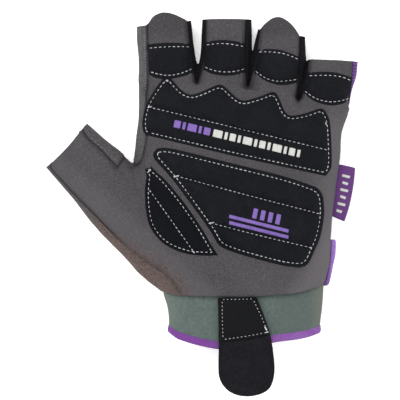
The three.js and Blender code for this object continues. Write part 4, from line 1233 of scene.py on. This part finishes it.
# Side label
# A purple satin label, folded once and caught in the seam at the little finger's side. Plain pale bars
# are printed on it.
label_outline = join_curves([
    [(336.6, 163.9), (346, 165.4), (355.9, 167.7)],
    [(355.9, 167.7), (354.6, 181), (352.6, 193.9), (349.4, 208), (345, 221.7)],
    [(345, 221.7), (338, 218.8), (331, 215.7)],
    [(331, 215.7), (332.5, 190), (336.6, 163.9)],
])
plan, faces = plan_mesh(label_outline, 0.8)
to_edge = np.maximum(edge_field(plan, label_outline), 0)
rounded = round_edge(to_edge, 0.45)
far = np.clip((plan[:, 0] - 44) / 12, 0, 1)
curl = ripple(plan, (9, 9), 1) * 0.5 * far
verts, closed = slab(plan, faces, 9.85 + 0.4 * rounded + curl, 9.55 + curl)
label = mesh_object("label_satin", verts, closed)
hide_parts("side_label")
satin = Cloth("purple_satin", 0.5, gloss=0.2)
fine = satin.wave(0.42, (0.2, 1, 0))
gloss = satin.noise(7, 3, 0.5)
tone = satin.mix(fine, srgb(88, 42, 110), srgb(114, 62, 140))
tone = satin.tint(tone, gloss, 0.4, srgb(124, 72, 150))
satin_material = satin.finish(tone, [(fine, 0.05), (gloss, 0.12)])
finish_piece(label, satin_material)
label_look = top_of(tree_of(verts[: len(plan)], faces))
LABEL_BARS = [(346.8, 175, 8), (346, 182, 5.6), (345, 189, 8), (343.8, 196, 5.6), (342.2, 203, 8),
              (340, 210, 5.6)]
pale = []
for middle, y, long in LABEL_BARS:
    left, right = middle - long / 2, middle + long / 2
    pale.append(on_view([(left, y - 1.1), (right, y + 0.9), (right - 0.8, y + 3.5), (left - 0.8, y + 1.5)]))
printed("label_bars", pale, label_look, white_ink)

# Wrist tab
# The edge of the back's purple tab, which shows round the side seam near the wrist. It is webbing that
# lies flat against the knit and is sewn to it. Each row: the place of its outer edge, then half its
# height, in mm.
TAB_SIDES = 20
TAB_EDGE = [
    (46.8, -11.6, 8.9, 3.6), (47.2, -13.2, 8.9, 4.2), (46.9, -18.7, 8.8, 4.4), (46.0, -23.1, 8.7, 4.3),
    (45.1, -27.5, 8.5, 4.1), (44.1, -31.9, 8.3, 3.7), (43.1, -33.3, 8.2, 3.0),
]
rows = []
for x, y, z, high in spline(TAB_EDGE, 6):
    side = skin_tree.ray_cast(Vector((80, y, z)), Vector((-1, 0, 0)))[0]
    inner = side.x + 0.15 if side else x - 1.5
    middle, half = (x + inner) / 2, max(0.35, (x - inner) / 2)
    turn = np.arange(TAB_SIDES) * 2 * np.pi / TAB_SIDES
    across, up = [np.sign(v) * np.abs(v) ** 0.45 for v in (np.cos(turn), np.sin(turn))]
    rows.append(np.column_stack([middle + half * across, np.full(TAB_SIDES, y), z + high * up]))
tab = tube("tab_cloth", np.array(rows), ends=True)
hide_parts("side_tab")
loop_web = Cloth("purple_web", 0.7, sheen=0.06, sheen_tint=srgb(235, 220, 250), gloss=0.12)
fuzz = loop_web.noise(0.6, 4, 0.7)
tone = loop_web.mix(loop_web.ramp(fuzz, 0.3, 0.7), srgb(146, 106, 192), srgb(180, 142, 226))
tone = loop_web.tint(tone, loop_web.along(0, -1, 22, 33), 0.7, srgb(130, 80, 154))
finish_piece(tab, loop_web.finish(tone, [(fuzz, 0.12)]))

# Floor and light
# A plain white table that glows a little from below, under a bright even sky, with a large soft lamp
# from the upper left and a weaker one from the lower right.
TABLE_HALF = 1500
table_corners = [(x * TABLE_HALF, y * TABLE_HALF, -0.05) for x, y in ((-1, -1), (1, -1), (1, 1), (-1, 1))]
table_top = mesh_object("table_top", table_corners, [(0, 1, 2, 3)])
table_paint = Cloth("table_paint", 0.9)
table_paint.shader.inputs["Emission Color"].default_value = (1, 1, 1, 1)
table_paint.shader.inputs["Emission Strength"].default_value = 0.35
grain = table_paint.noise(3, 3, 0.5)
tone = table_paint.mix(grain, (0.93, 0.93, 0.93, 1), (0.96, 0.96, 0.96, 1))
table_top.data.materials.append(table_paint.finish(tone, [(grain, 0.01)]))

sky = bpy.data.worlds.new("sky")
sky.use_nodes = True
sky.node_tree.nodes["Background"].inputs["Color"].default_value = (1, 1, 1, 1)
sky.node_tree.nodes["Background"].inputs["Strength"].default_value = 1.25
bpy.context.scene.world = sky
LAMPS = (("upper_left_lamp", (-0.35, 0.45, 0.9), 6.0, 0.7), ("lower_right_lamp", (0.6, -0.4, 0.8), 2.0, 0.8))
for name, place, energy, size in LAMPS:
    lamp_data = bpy.data.lights.new(name, "AREA")
    lamp_data.energy = energy
    lamp_data.size = size
    lamp = bpy.data.objects.new(name, lamp_data)
    lamp.location = place
    lamp.rotation_euler = Vector(place).to_track_quat("Z", "Y").to_euler()
    bpy.context.scene.collection.objects.link(lamp)
bpy.context.scene.view_settings.view_transform = "Standard"
